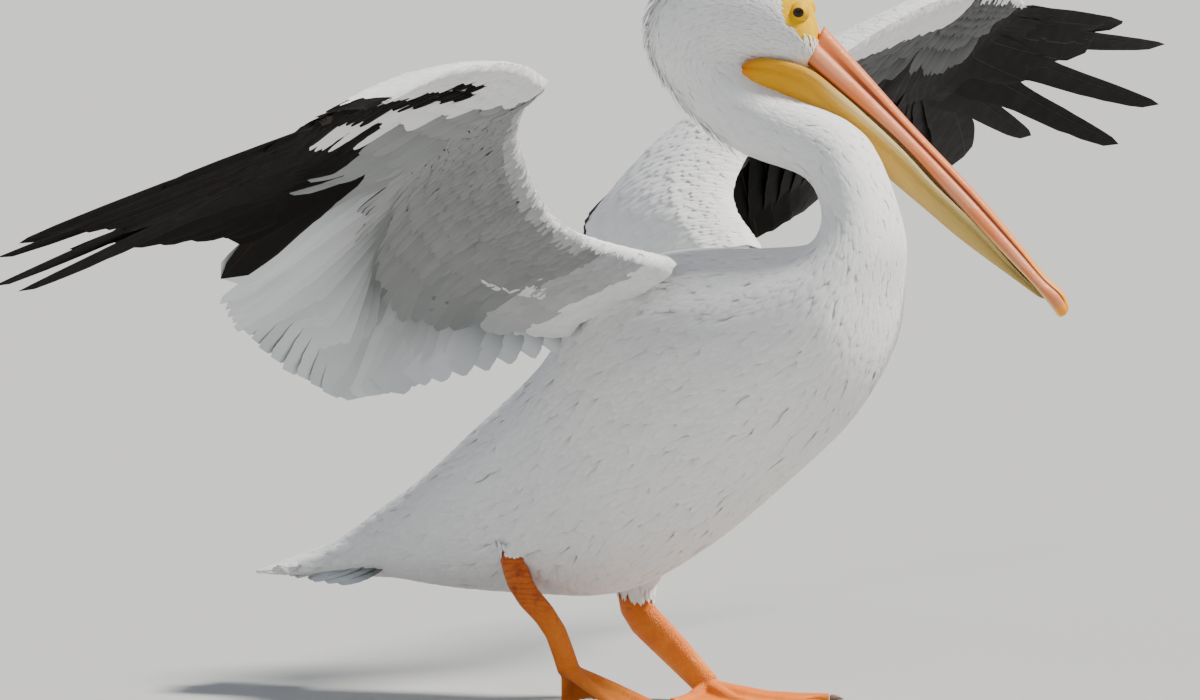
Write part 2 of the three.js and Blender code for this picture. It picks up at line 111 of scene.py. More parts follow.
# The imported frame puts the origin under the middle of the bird's box.
SHIFT = (EYES["right"] + EYES["left"]) / 2 - turned(EYE_IN_HEAD * [1, 0, 1]) * MM


def placed(points):
    """Millimetres in the bird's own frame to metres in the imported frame."""
    return np.asarray(points, float) * MM + SHIFT


def in_head(x, y, z):
    """A place in the head's own millimetres, before its turn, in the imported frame."""
    return placed(turned(np.stack(np.broadcast_arrays(x, y, z), -1).astype(float)))


def smooth_share(value, low, high):
    t = np.clip((np.asarray(value, float) - low) / (high - low), 0, 1)
    return t * t * (3 - 2 * t)


def curve(rows):
    """A centripetal Catmull-Rom curve through the rows. It takes an array of t, 0 to 1."""
    rows = np.asarray(rows, float)
    rows = np.vstack([2 * rows[0] - rows[1], rows, 2 * rows[-1] - rows[-2]])
    steps = np.maximum(np.linalg.norm(np.diff(rows, axis=0), axis=1) ** 0.5, 1e-4)
    spans = len(rows) - 3

    def at(t):
        t = np.asarray(t, float) * spans
        i = np.clip(np.floor(t).astype(int), 0, spans - 1)
        w = (t - i)[..., None]
        p0, p1, p2, p3 = (rows[i + k] for k in range(4))
        d0, d1, d2 = (steps[i + k][..., None] for k in range(3))
        m1 = ((p1 - p0) / d0 - (p2 - p0) / (d0 + d1) + (p2 - p1) / d1) * d1
        m2 = ((p2 - p1) / d1 - (p3 - p1) / (d1 + d2) + (p3 - p2) / d2) * d1
        a = 2 * p1 - 2 * p2 + m1 + m2
        b = -3 * p1 + 3 * p2 - 2 * m1 - m2
        return ((a * w + b) * w + m1) * w + p1

    return at


def unit(vectors):
    length = np.linalg.norm(vectors, axis=-1, keepdims=True)
    return vectors / np.maximum(length, 1e-12)


# ---- sizes and colours a user would change -----------------------------------------------
def length(name, default, description):
    return FloatProperty(name=name, default=default, subtype="DISTANCE", unit="LENGTH",
                         precision=4, description=description)


def tint(name, default, description):
    return FloatVectorProperty(name=name, default=default, subtype="COLOR", size=3, min=0,
                               max=1, description=description)


class PlumageSettings(bpy.types.PropertyGroup):
    trunk_vane: length("Trunk feather", 0.030,
                       "Length of a contour feather on the trunk. The neck's and head's follow")
    crest_vane: length("Nape plume", 0.020, "Length of the loose plumes on the nape")
    secondaries: IntProperty(name="Secondaries", default=26, min=10, max=40,
                             description="Flight feathers on each arm")
    primaries: IntProperty(name="Primaries", default=10, min=6, max=12,
                           description="Flight feathers on each hand")
    white: tint("White", (0.90, 0.89, 0.865), "Clean body feather")
    # Grey of painted shade at the foot of each white feather; it also greys skin and feathers in
    # random patches.
    shade: tint("Down", (0.66, 0.67, 0.68), "Downy foot of a white feather")
    # Painted shade: grey for the wing's white lining where it lies in shade.
    lining: tint("Lining", (0.30, 0.31, 0.305), "Pale part of the wing's lining")
    # Painted shade: darker grey for the wing's white lining deep in shade.
    under: tint("Under wing", (0.17, 0.18, 0.175), "Greyish lining of the wing")
    # Partly the far hand's own dusky grey coverts, partly painted shade on them.
    slate: tint("Slate", (0.085, 0.088, 0.09), "Grey coverts under the far hand")
    black: tint("Black", (0.0022, 0.0020, 0.0020), "Vane of a flight feather")
    # Painted shade: light grey for the white coverts between the wing's white front and its shaded
    # lining.
    pale: tint("Pale covert", (0.50, 0.51, 0.505), "Light grey coverts behind the white ones")
    # Greyer than the body's white: painted shade on the white secondaries and tail feathers.
    quill: tint("White quill", (0.72, 0.75, 0.77), "Vane of a white secondary or tail feather")
    brown: tint("Brown", (0.030, 0.020, 0.014), "Worn edge and shaft of a flight feather")
    seed: IntProperty(name="Seed", default=7, min=0, description="Start of the random draws")


class BillSettings(bpy.types.PropertyGroup):
    ridge: tint("Ridge", (0.74, 0.20, 0.055), "Salmon upper side of the bill")
    flank: tint("Flank", (0.68, 0.25, 0.12), "Dusky pink side of the bill")
    groove: tint("Groove", (0.20, 0.035, 0.004), "Orange-red groove along the bill")
    tip: tint("Nail", (0.95, 0.34, 0.005), "Orange end of the bill and its nail")
    # Painted shade: the dark line of the mouth's opening where the bill meets the pouch.
    rim: tint("Rim", (0.82, 0.62, 0.24), "Pale yellow cutting edge")
    lip: tint("Lip", (0.11, 0.030, 0.008), "Dark brown line where the bill meets the pouch")
    pouch: tint("Pouch", (0.80, 0.37, 0.0), "Ochre skin of the pouch")
    pouch_tip: tint("Pouch end", (0.62, 0.43, 0.12), "Khaki skin of the pouch near its end")
    fold: tint("Pouch fold", (0.42, 0.22, 0.03), "Brown in the folds of the pouch")
    gape: tint("Gape", (0.92, 0.27, 0.0), "Orange corner of the mouth")


class SkinSettings(bpy.types.PropertyGroup):
    orbit: tint("Eye patch", (0.74, 0.40, 0.0), "Bare yellow skin round the eye")
    orbit_pale: tint("Eye patch, pale", (0.78, 0.49, 0.0), "Paler patches in that skin")
    leg: tint("Leg", (0.92, 0.21, 0.004), "Orange leg and web")
    leg_pale: tint("Leg, pale", (0.95, 0.33, 0.02), "Yellower patches on legs and webs")
    # Deep red of the ankle, and painted shade in the creases between scales and in the ankle's
    # folds.
    crease: tint("Crease", (0.36, 0.050, 0.004), "Darker creases between leg scales")
    claw: tint("Claw", (0.13, 0.075, 0.045), "Brown claw")
    claw_pale: tint("Claw, pale", (0.30, 0.19, 0.11), "Worn streaks on a claw")
    iris: tint("Iris", (0.030, 0.010, 0.004), "Dark brown iris")
    eye_opening: length("Eye opening", 0.0047, "Radius of the opening between the lids")


class StageSettings(bpy.types.PropertyGroup):
    floor: tint("Floor", (0.45, 0.45, 0.44), "Plain pale floor")
    floor_mottle: tint("Floor mottle", (0.41, 0.41, 0.40), "Faint darker patches on the floor")
    sky: tint("Room light", (0.80, 0.87, 1.0), "Soft light from all sides")
    key_strength: FloatProperty(name="Key light", default=7.6, min=0,
                                description="Main light, from the upper right")
    fill_strength: FloatProperty(name="Fill light", default=0.35, min=0,
                                 description="Weak light from the left")
    catch_strength: FloatProperty(name="Catch light", default=0.3, min=0,
                                  description="Small light that glints in the eye")
    room_strength: FloatProperty(name="Room strength", default=0.42, min=0,
                                 description="Strength of the light from all sides")
    azimuth: FloatProperty(name="Camera azimuth", default=math.radians(28), subtype="ANGLE",
                           description="Turn of the camera round the bird")
    elevation: FloatProperty(name="Camera elevation", default=math.radians(6),
                             subtype="ANGLE", description="Height of the camera as an angle")
    frame_width: length("Frame width", 1.104, "Width of what the camera sees at the bird")


def settings(name):
    return getattr(bpy.context.scene, f"pelican_{name}")


# ---- materials ---------------------------------------------------------------------------
class Value:
    """A number that varies over a surface. Arithmetic on it adds Math nodes."""

    def __init__(self, finish, socket):
        self.finish = finish
        self.socket = socket

    def maths(self, operation, *values):
        made = self.finish.node("ShaderNodeMath", {"operation": operation},
                                dict(enumerate(values)))
        return Value(self.finish, made.outputs[0])

    def __add__(self, other):
        return self.maths("ADD", self, other)

    def __sub__(self, other):
        return self.maths("SUBTRACT", self, other)

    def __rsub__(self, other):
        return self.maths("SUBTRACT", other, self)

    def __mul__(self, other):
        return self.maths("MULTIPLY", self, other)

    def __abs__(self):
        return self.maths("ABSOLUTE", self)

    __radd__ = __add__
    __rmul__ = __mul__

    def step(self, low, high):
        """0 at low and 1 at high, smooth between them."""
        made = self.finish.node("ShaderNodeMapRange", {"interpolation_type": "SMOOTHSTEP"},
                                {"Value": self, "From Min": low, "From Max": high})
        return Value(self.finish, made.outputs[0])

    def sine(self):
        return self.maths("SINE", self)

    def least(self, other):
        return self.maths("MINIMUM", self, other)

    def most(self, other):
        return self.maths("MAXIMUM", self, other)


class Finish:
    """One material. Maths comes from Value, and any other node from node()."""

    def __init__(self, name, **constants):
        self.material = bpy.data.materials.new(name)
        self.material.use_nodes = True
        self.tree = self.material.node_tree
        self.shader = self.tree.nodes["Principled BSDF"]
        for socket, value in constants.items():
            self.shader.inputs[socket.replace("_", " ")].default_value = value

    def node(self, kind, settings=None, inputs=None):
        made = self.tree.nodes.new(kind)
        for key, value in (settings or {}).items():
            setattr(made, key, value)
        for key, value in (inputs or {}).items():
            socket = made.inputs[key]
            if isinstance(value, Value):
                self.tree.links.new(value.socket, socket)
            elif isinstance(value, bpy.types.NodeSocket):
                self.tree.links.new(value, socket)
            else:
                socket.default_value = value
        return made

    def place(self, scale=(1, 1, 1)):
        """The piece's own coordinates, stretched."""
        where = self.node("ShaderNodeTexCoord").outputs["Object"]
        made = self.node("ShaderNodeMapping", {"vector_type": "POINT"},
                         {"Vector": where, "Scale": scale})
        return made.outputs[0]

    def height(self):
        """Height above the floor in metres."""
        where = self.node("ShaderNodeTexCoord").outputs["Object"]
        parts = self.node("ShaderNodeSeparateXYZ", {}, {0: where})
        return Value(self, parts.outputs[2])

    def noise(self, scale, detail, where=None):
        made = self.node("ShaderNodeTexNoise", {},
                         {"Vector": where or self.place(), "Scale": scale, "Detail": detail})
        return Value(self, made.outputs[0])

    def cells(self, scale, feature="F1"):
        made = self.node("ShaderNodeTexVoronoi", {"feature": feature},
                         {"Vector": self.place(), "Scale": scale})
        return Value(self, made.outputs["Distance"])

    def map(self, name):
        """The two coordinates of one of the piece's own maps."""
        where = self.node("ShaderNodeUVMap", {"uv_map": name}).outputs[0]
        parts = self.node("ShaderNodeSeparateXYZ", {}, {0: where})
        return Value(self, parts.outputs[0]), Value(self, parts.outputs[1])

    def attribute(self, name):
        made = self.node("ShaderNodeAttribute", {"attribute_name": name})
        return Value(self, made.outputs["Fac"])

    def blend(self, share, first, second):
        """A colour between two others."""
        first, second = (color if isinstance(color, bpy.types.NodeSocket) else (*color, 1)
                         for color in (first, second))
        made = self.node("ShaderNodeMix", {"data_type": "RGBA", "clamp_factor": True},
                         {0: share, 6: first, 7: second})
        return made.outputs[2]

    def wear(self, color, roughness, height=None, depth=0.0):
        """Links what varies over the surface to the shader and gives the material."""
        self.tree.links.new(color, self.shader.inputs["Base Color"])
        self.tree.links.new(roughness.socket, self.shader.inputs["Roughness"])
        if height is not None:
            bump = self.node("ShaderNodeBump", {}, {"Height": height, "Distance": depth})
            self.tree.links.new(bump.outputs[0], self.shader.inputs["Normal"])
        return self.material


def white_vane_finish(name, bright, shade_and_tone, dull_share, foot_shade_share=0.35, relief=0.0003):
    """White feather: painted shade towards its foot, clean end, fine barbs that slant off the shaft.
    """
    made = Finish(name, Specular_IOR_Level=0.25, Sheen_Weight=0.08, Sheen_Roughness=0.5)
    across, along = made.map("Vane")
    tone = made.attribute("tone")
    aside = abs(across - 0.5) * 2
    broad = made.noise(9, 3)
    # Painted shade: the feather darkens towards its foot, where other feathers cover it.
    foot = (1 - along.step(0.0, 0.9)) * foot_shade_share
    # The painted foot shade, plus random patches and a random tone for each feather.
    grey = (foot + broad.step(0.45, 0.75) * 0.15 + tone * dull_share).least(1.0)
    color = made.blend(grey, bright, shade_and_tone)
    barbs = ((along * 60 + aside * 22) * 2 * math.pi).sine()
    shaft = 1 - aside.step(0.0, 0.10)
    height = barbs * 0.10 + shaft * 0.3
    return made.wear(color, tone * 0.1 + 0.72, height, relief)


def dark_vane_finish(plumage):
    """Black flight feather with a brown shaft and a worn paler edge."""
    made = Finish("black_vane", Specular_IOR_Level=0.08)
    across, along = made.map("Vane")
    tone = made.attribute("tone")
    aside = abs(across - 0.5) * 2
    barbs = ((along * 70 + aside * 16) * 2 * math.pi).sine()
    streak = made.noise(60, 3)
    shaft = 1 - aside.step(0.015, 0.06)
    edge = aside.step(0.86, 1.0) * along.step(0.3, 0.9)
    worn = (edge * 0.3 + shaft * 0.6 + streak.step(0.5, 0.8) * 0.12 + tone * 0.12).least(1.0)
    color = made.blend(worn, plumage.black, plumage.brown)
    return made.wear(color, 0.50 + streak * 0.25, barbs * 0.02 + shaft, 0.0008)


def bare_yellow(made):
    """The yellow of the bare skin round the eyes, in two close tones."""
    skin = settings("skin")
    return made.blend(made.noise(90, 3).step(0.35, 0.75), skin.orbit, skin.orbit_pale)


def skin_finish(plumage):
    """White skin under the feathers, yellow where it is bare."""
    made = Finish("feathered_skin", Specular_IOR_Level=0.2)
    broad = made.noise(14, 4)
    fine = made.noise(420, 2)
    color = made.blend(broad.step(0.35, 0.75), plumage.white, plumage.shade)
    color = made.blend(made.attribute("bare"), color, bare_yellow(made))
    return made.wear(color, 0.75 + fine * 0.15, fine, 0.0008)


# ---- meshes ------------------------------------------------------------------------------
def as_piece(name, mesh, material, slot, *nodes):
    """An object at the origin that rides on the body and stands for the named nodes."""
    piece = bpy.data.objects.new(name, mesh)
    bpy.context.scene.collection.objects.link(piece)
    mesh.materials.append(material)
    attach(piece, BODY)
    if nodes:
        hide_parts(*nodes)
    return piece


def to_mesh(name, bm, smooth=True):
    mesh = bpy.data.meshes.new(name)
    bmesh.ops.recalc_face_normals(bm, faces=bm.faces)
    bm.to_mesh(mesh)
    bm.free()
    if smooth:
        mesh.shade_smooth()
    return mesh


def loft(bm, rings, cap=True):
    """Draws a tube through rings of points: a circle that is extruded and shaped."""
    rings = [np.asarray(ring) for ring in rings]
    start = bmesh.ops.create_circle(bm, segments=len(rings[0]), radius=1.0, cap_ends=cap)
    loop = start["verts"]
    for vert, point in zip(loop, rings[0]):
        vert.co = point
    count = len(loop)
    loops = [loop]
    for ring in rings[1:]:
        edges = [bm.edges.get((loop[i], loop[(i + 1) % count])) for i in range(count)]
        made = bmesh.ops.extrude_edge_only(bm, edges=edges)
        fresh = {v for v in made["geom"] if isinstance(v, bmesh.types.BMVert)}
        loop = [next(o for e in v.link_edges if (o := e.other_vert(v)) in fresh)
                for v in loop]
        for vert, point in zip(loop, ring):
            vert.co = point
        loops.append(loop)
    if cap:
        edges = [bm.edges.get((loop[i], loop[(i + 1) % count])) for i in range(count)]
        bmesh.ops.contextual_create(bm, geom=edges)
    return loops


def welded(*nodes):
    """The named solids as one mesh of merged vertices."""
    bm = bmesh.new()
    for node in nodes:
        bm.from_mesh(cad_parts[node].data)
    bmesh.ops.remove_doubles(bm, verts=bm.verts, dist=1e-6)
    return bm


def relax(bm, rounds):
    for _ in range(rounds):
        bmesh.ops.smooth_vert(bm, verts=bm.verts, factor=0.5,
                              use_axis_x=True, use_axis_y=True, use_axis_z=True)


def remeshed(bm, voxel, rounds):
    """One closed skin over overlapping and touching solids, smoothed."""
    mesh = to_mesh("remesh", bm)
    carrier = bpy.data.objects.new("remesh", mesh)
    bpy.context.scene.collection.objects.link(carrier)
    step = carrier.modifiers.new("Remesh", "REMESH")
    step.mode = "VOXEL"
    step.voxel_size = voxel
    graph = bpy.context.evaluated_depsgraph_get()
    made = bpy.data.meshes.new_from_object(carrier.evaluated_get(graph))
    bpy.data.objects.remove(carrier)
    fine = bmesh.new()
    fine.from_mesh(made)
    relax(fine, rounds)
    fine.normal_update()
    return fine


# ---- feathers ----------------------------------------------------------------------------
def vane_template(along, across, double=False):
    """Places on one closed vane: along 0 to 1, across -1 to 1, and 1 for its upper side."""
    ring = [(a, 1) for a in across]
    if double:
        ring += [(a, -1) for a in across[-2:0:-1]]
    inner = [s for s in along if 0 < s < 1]
    places = [(0.0, 0.0, 1)]
    places += [(s, a, face) for s in inner for a, face in ring]
    places.append((1.0, 0.0, 1))
    count, last = len(ring), len(places) - 1
    faces = []
    for i in range(count):
        j = (i + 1) % count
        faces.append((0, 1 + j, 1 + i))
        for r in range(len(inner) - 1):
            a, b = 1 + r * count + i, 1 + r * count + j
            faces += [(a, b, b + count), (a, b + count, a + count)]
        end = 1 + (len(inner) - 1) * count
        faces.append((end + i, end + j, last))
    return np.array(places), np.array(faces)


def vane_outline(s, widest=0.55, tip=0.5):
    """Half width of a vane along its length, 0 at both ends and 1 where it is widest."""
    s = np.clip(s, 0, 1)
    rise = np.sin(np.pi / 2 * np.clip(s / widest, 0, 1)) ** 0.8
    fall = np.clip(1 - np.clip((s - widest) / (1 - widest), 0, 1) ** 2, 0, 1) ** tip
    return rise * fall


SMALL_VANE = vane_template((0, 0.2, 0.55, 0.88, 1), (-1, 0, 1))
BODY_VANE = vane_template((0, 0.15, 0.4, 0.7, 0.92, 1), (-1, 0, 1))
COVERT_VANE = vane_template((0, 0.1, 0.3, 0.5, 0.7, 0.86, 0.96, 1), (-1, -0.5, 0, 0.5, 1))
FLIGHT_VANE = vane_template(np.linspace(0, 1, 25), (-1, -0.6, -0.25, 0, 0.25, 0.6, 1), True)
BAKE_PATCH = 0.003                       # side of a small feather's patch on the bake map
FLIGHT_PATCH = (0.018, 0.9)              # width and height of a flight feather's patch
BAKE_EDGE = 0.004                        # margin that roots keep on the bake map
SHARP = math.radians(60)                 # creases of a vane above this angle stay sharp
SPINE_ROWS = 260
BATCH = 4000                             # points that are measured at a time


class Plumage:
    """Gathers vanes as arrays and makes them one mesh."""

    def __init__(self, template, patch=(BAKE_PATCH, BAKE_PATCH)):
        self.places, self.faces = template
        self.patch = patch
        self.points, self.maps, self.tones = [], [], []

    def add(self, points, roots, tones):
        """points is (feathers, places, 3) in metres, roots their places on the unwrap."""
        self.points.append(points)
        self.maps.append(roots)
        self.tones.append(tones)

    def mesh(self, name):
        """One mesh of all the vanes, with the bake map, their own map and their tones."""
        points = np.concatenate(self.points)
        roots = np.concatenate(self.maps)
        tones = np.concatenate(self.tones)
        feathers, size = points.shape[:2]
        corners = self.faces.reshape(-1)
        index = (np.arange(feathers)[:, None] * size + corners).reshape(-1)
        made = bpy.data.meshes.new(name)
        made.vertices.add(feathers * size)
        made.vertices.foreach_set("co", points.astype(np.float32).reshape(-1))
        made.loops.add(len(index))
        made.loops.foreach_set("vertex_index", index.astype(np.int32))
        made.polygons.add(len(index) // 3)
        made.polygons.foreach_set("loop_start", np.arange(0, len(index), 3, dtype=np.int32))
        made.update(calc_edges=True)
        vane = np.stack([self.places[:, 1] / 2 + 0.5, self.places[:, 0]], -1)
        bake = roots[:, None] + (vane - 0.5) * self.patch
        for title, values in (("OFBake", bake), ("Vane", np.broadcast_to(vane, bake.shape))):
            layer = made.uv_layers.new(name=title)
            per_corner = values[:, corners].reshape(-1)
            layer.data.foreach_set("uv", per_corner.astype(np.float32))
        tone = made.attributes.new("tone", "FLOAT", "POINT")
        tone.data.foreach_set("value", np.repeat(tones, size).astype(np.float32))
        made.shade_smooth()
        made.set_sharp_from_angle(angle=SHARP)
        return made


class Spine:
    """The line through the middle of the body, from the end of the tail to the bill."""

    def __init__(self):
        numbers = np.linspace(SPINE[0, 0], SPINE[-1, 0], SPINE_ROWS)
        share = (numbers - SPINE[0, 0]) / (SPINE[-1, 0] - SPINE[0, 0])
        x, z = curve(SPINE[:, 1:3])(share).T
        middle = np.stack([x, np.zeros_like(x), z], -1)
        ahead = middle + np.gradient(middle, axis=0)
        turn = smooth_share(numbers, TURN_STARTS, TURN_ENDS)
        self.middle = placed(turned(middle, turn))
        self.along = unit(placed(turned(ahead, turn)) - self.middle)
        self.side = unit(turned(np.array([TURN_AXIS_X, 1, 0]) + 0 * middle, turn)
                         - [TURN_AXIS_X, 0, 0])
        self.numbers = numbers
        self.reach = np.interp(numbers, SPINE[:, 0], SPINE[:, 3:].max(1)) * MM

    def station(self, points):
        """Spine number, angle round the spine from the belly, and row for each point."""
        rows = np.empty(len(points), int)
        for start in range(0, len(points), BATCH):
            part = points[start:start + BATCH]
            away = np.linalg.norm(part[:, None] - self.middle, axis=-1) / self.reach
            rows[start:start + BATCH] = away.argmin(1)
        out = points - self.middle[rows]
        up = np.cross(self.along[rows], self.side[rows])
        angle = np.arctan2((out * self.side[rows]).sum(1), (out * -up).sum(1))
        return self.numbers[rows], angle, rows


SUNK = 0.25                              # depth of a vane's root, as a share of its height
ARCH = 0.28                              # rise of a vane's middle, as a share of its half width
TRIES = 5                                # roots that are tried for each one that fits
# Feathers lie along the body past the first height and the first distance from THIGH_X, and
# point down the thighs within the second ones, in metres
THIGH_HEIGHTS, THIGH_X, THIGH_REACH = (0.17, 0.12), -0.035, (0.10, 0.05)
DOWN_THE_THIGH = (0.1, 0, -1)


class Surface:
    """The skin as the feathers see it: places, outward directions and the way they lie."""

    def __init__(self, bm):
        self.spine = Spine()
        self.tree = BVHTree.FromBMesh(bm)
        corners = []
        for face in bm.faces:
            ring = [v.co for v in face.verts]
            corners += [(ring[0], ring[k], ring[k + 1]) for k in range(1, len(ring) - 1)]
        self.triangles = np.array(corners, float)

    def nearest(self, points):
        """Places and outward directions on the skin nearest to points."""
        found = [self.tree.find_nearest(Vector(p))[:2] for p in points]
        return np.array([f[0] for f in found]), np.array([f[1] for f in found])

    def scatter(self, rng, wanted, spacing):
        """Roots spread evenly. wanted(points) picks them and spacing(points) parts them."""
        a, b, c = self.triangles.transpose(1, 0, 2)
        keep = wanted((a + b + c) / 3)
        a, b, c = a[keep], b[keep], c[keep]
        area = np.linalg.norm(np.cross(b - a, c - a), axis=1) / 2
        gaps = spacing((a + b + c) / 3)
        weight = area / gaps ** 2
        count = int(weight.sum() * TRIES)
        pick = rng.choice(len(a), count, p=weight / weight.sum())
        u, v = rng.random((2, count))
        fold = u + v > 1
        u[fold], v[fold] = 1 - u[fold], 1 - v[fold]
        points = a[pick] + (b - a)[pick] * u[:, None] + (c - a)[pick] * v[:, None]
        gap = gaps[pick]
        cell = gap.max()
        grid, chosen = {}, []
        keys = np.floor(points / cell).astype(int).tolist()
        near = [(i, j, k) for i in (-1, 0, 1) for j in (-1, 0, 1) for k in (-1, 0, 1)]
        spots = points.tolist()

        def taken(key, spot, least):
            x, y, z = spot
            for i, j, k in near:
                for other in grid.get((key[0] + i, key[1] + j, key[2] + k), ()):
                    ox, oy, oz = spots[other]
                    if (x - ox) ** 2 + (y - oy) ** 2 + (z - oz) ** 2 < least:
                        return True
            return False

        for n, (key, spot, least) in enumerate(zip(keys, spots, (gap ** 2).tolist())):
            if not taken(key, spot, least):
                grid.setdefault(tuple(key), []).append(n)
                chosen.append(n)
        return points[chosen]

    def lie(self, points, normals, rows):
        """The way feathers lie: back along the spine, and down the thighs."""
        back = -self.spine.along[rows]
        leg = smooth_share(-points[:, 2], *np.negative(THIGH_HEIGHTS))
        away = np.abs(points[:, 0] - THIGH_X)
        leg = leg * smooth_share(-away, *np.negative(THIGH_REACH))
        way = back * (1 - leg[:, None]) + np.array(DOWN_THE_THIGH) * leg[:, None]
        way = way - (way * normals).sum(1)[:, None] * normals
        return unit(way)

    def vanes(self, rng, coat, roots, size, width, height, curl=0.0, swing=0.16):
        """Lays one vane at each root. size, width and height are per feather, in metres."""
        places = coat.places
        stations = np.unique(places[:, 0])
        roots, normals = self.nearest(roots)
        number, angle, rows = self.spine.station(roots)
        way = self.lie(roots, normals, rows)
        turn = rng.normal(0, swing, len(roots))[:, None]
        way = unit(way + np.cross(normals, way) * turn)
        path, facing, heading = [roots], [normals], [way]
        for before, after in zip(stations[:-1], stations[1:]):
            ahead = path[-1] + heading[-1] * (size * (after - before))[:, None]
            spot, face = self.nearest(ahead)
            face = unit(face * 0.6 + facing[-1] * 0.4)
            path.append(spot)
            facing.append(face)
            heading.append(unit(heading[-1] - (heading[-1] * face).sum(1)[:, None] * face))
        path, facing, heading = (np.stack(x, 1) for x in (path, facing, heading))
        at = np.searchsorted(stations, places[:, 0])
        spot, face, head = path[:, at], facing[:, at], heading[:, at]
        beside = np.cross(face, head)
        s, a, top = places.T
        ragged = 1 + rng.normal(0, 0.10, (len(roots), len(places)))
        half = (width[:, None] / 2) * vane_outline(s) * ragged
        rise = height[:, None] * (-SUNK + (1 + SUNK) * s ** 0.6) + curl * s ** 3
        rise = rise + half * ARCH * (1 - np.abs(a)) * (top > 0)
        points = spot + beside * (half * a)[..., None] + face * rise[..., None]
        unwrap = np.stack([(number + 2.5) / 22.5, angle / (2 * math.pi) + 0.5], -1)
        coat.add(points, np.clip(unwrap, BAKE_EDGE, 1 - BAKE_EDGE), rng.random(len(roots)))


# ---- wings -------------------------------------------------------------------------------
ARM_THICKNESS = (40, 30, 26, 28, 32)
HAND_THICKNESS = (32, 24, 10)
CAMBER = 0.09                            # rise of the wing's middle, as a share of its chord
FEATHER_SHEET = 5.0                      # thickness that the flight feathers need, in millimetres
# Points on a ring round the wing's flesh, its thickness as a share of the wing's, and where
# it starts and ends across the wing
CORE_POINTS, CORE_SHRINK, CORE_START, CORE_END = 14, 0.8, 0.02, 0.8
EDGE_ROUND = 0.05                        # share of the chord that the front edge rounds over
CHORD_STEPS = (0, 0.04, 0.12, 0.3, 0.6, 1)
CHORD_PROFILE = (0, 0.45, 0.78, 1, 0.6, 0)
# Each wing in millimetres. lead is the leading edge and coverts the line where the flesh
# ends, from the body out. tips are the tips of the flight feathers, and fingers the tips of
# the free primaries. black_from is the share of the arm past which secondaries are black,
# and lining the kind of feather on most of the wing's underside.
WINGS = {
    "right": {
        "side": -1, "black_from": 1.0, "lining": "under",
        "arm": {
            "lead": [[70, -85, 422], [-4, -150, 456], [10, -270, 538], [70, -370, 598],
                     [125, -436, 624]],
            "coverts": [[-46, -84, 352], [-120, -165, 385], [-156, -250, 412],
                        [-90, -375, 470], [10, -500, 537]],
            "tips": [[-55, -88, 345], [-149, -195, 316], [-190, -240, 299],
                     [-211, -365, 360], [-153, -550, 420]],
            "fingers": [],
        },
        "hand": {
            "lead": [[125, -436, 624], [118, -470, 640], [88, -545, 642], [45, -615, 612]],
            "coverts": [[10, -500, 537], [-22, -600, 552], [0, -695, 588]],
            "tips": [[-153, -550, 420], [-80, -683, 504], [-96, -760, 508],
                     [-116, -860, 508]],
            "fingers": [[-116, -900, 500], [-136, -960, 466], [-140, -1000, 474],
                        [-133, -1005, 501]],
        },
    },
    "left": {
        "side": 1, "black_from": 0.50, "lining": "slate",
        "arm": {
            "lead": [[70, 85, 422], [7, 150, 466], [13, 270, 548], [72, 370, 612],
                     [110, 438, 634]],
            "coverts": [[-46, 84, 352], [-150, 165, 405], [-182, 250, 432],
                        [-80, 375, 480], [0, 490, 540]],
            "tips": [[-55, 88, 345], [-160, 195, 352], [-150, 270, 340],
                     [-98, 430, 399], [-126, 560, 407]],
            "fingers": [],
        },
        "hand": {
            "lead": [[110, 438, 634], [98, 530, 622], [68, 620, 598]],
            "coverts": [[0, 490, 540], [-25, 600, 520], [20, 685, 583]],
            "tips": [[-126, 560, 407], [-122, 680, 433], [-112, 760, 436], [-98, 840, 430]],
            "fingers": [[-72, 900, 446], [-26, 990, 432], [-4, 1030, 467], [-3, 1040, 523]],
        },
    },
}
THICKNESS = {"arm": ARM_THICKNESS, "hand": HAND_THICKNESS}
FREE_PRIMARIES = 4
WRIST_FEATHERS = (-0.35, -0.05)          # between secondaries and primaries, in primaries
FAN = 0.46                               # how far past its tip the first primary's root is
HAND_CLOSES = 0.86                       # t past which the hand thins to nothing
SEEN_PART = 0.8                          # where a covert's colour is read, along it
ROOTS_T, ROOTS_C = (0.003, 0.985), (-0.09, 0.98)    # limits of the coverts' roots
COVERT_RISE, COVERT_SUNK = 0.0012, 0.0006           # of a covert's middle and root, in metres


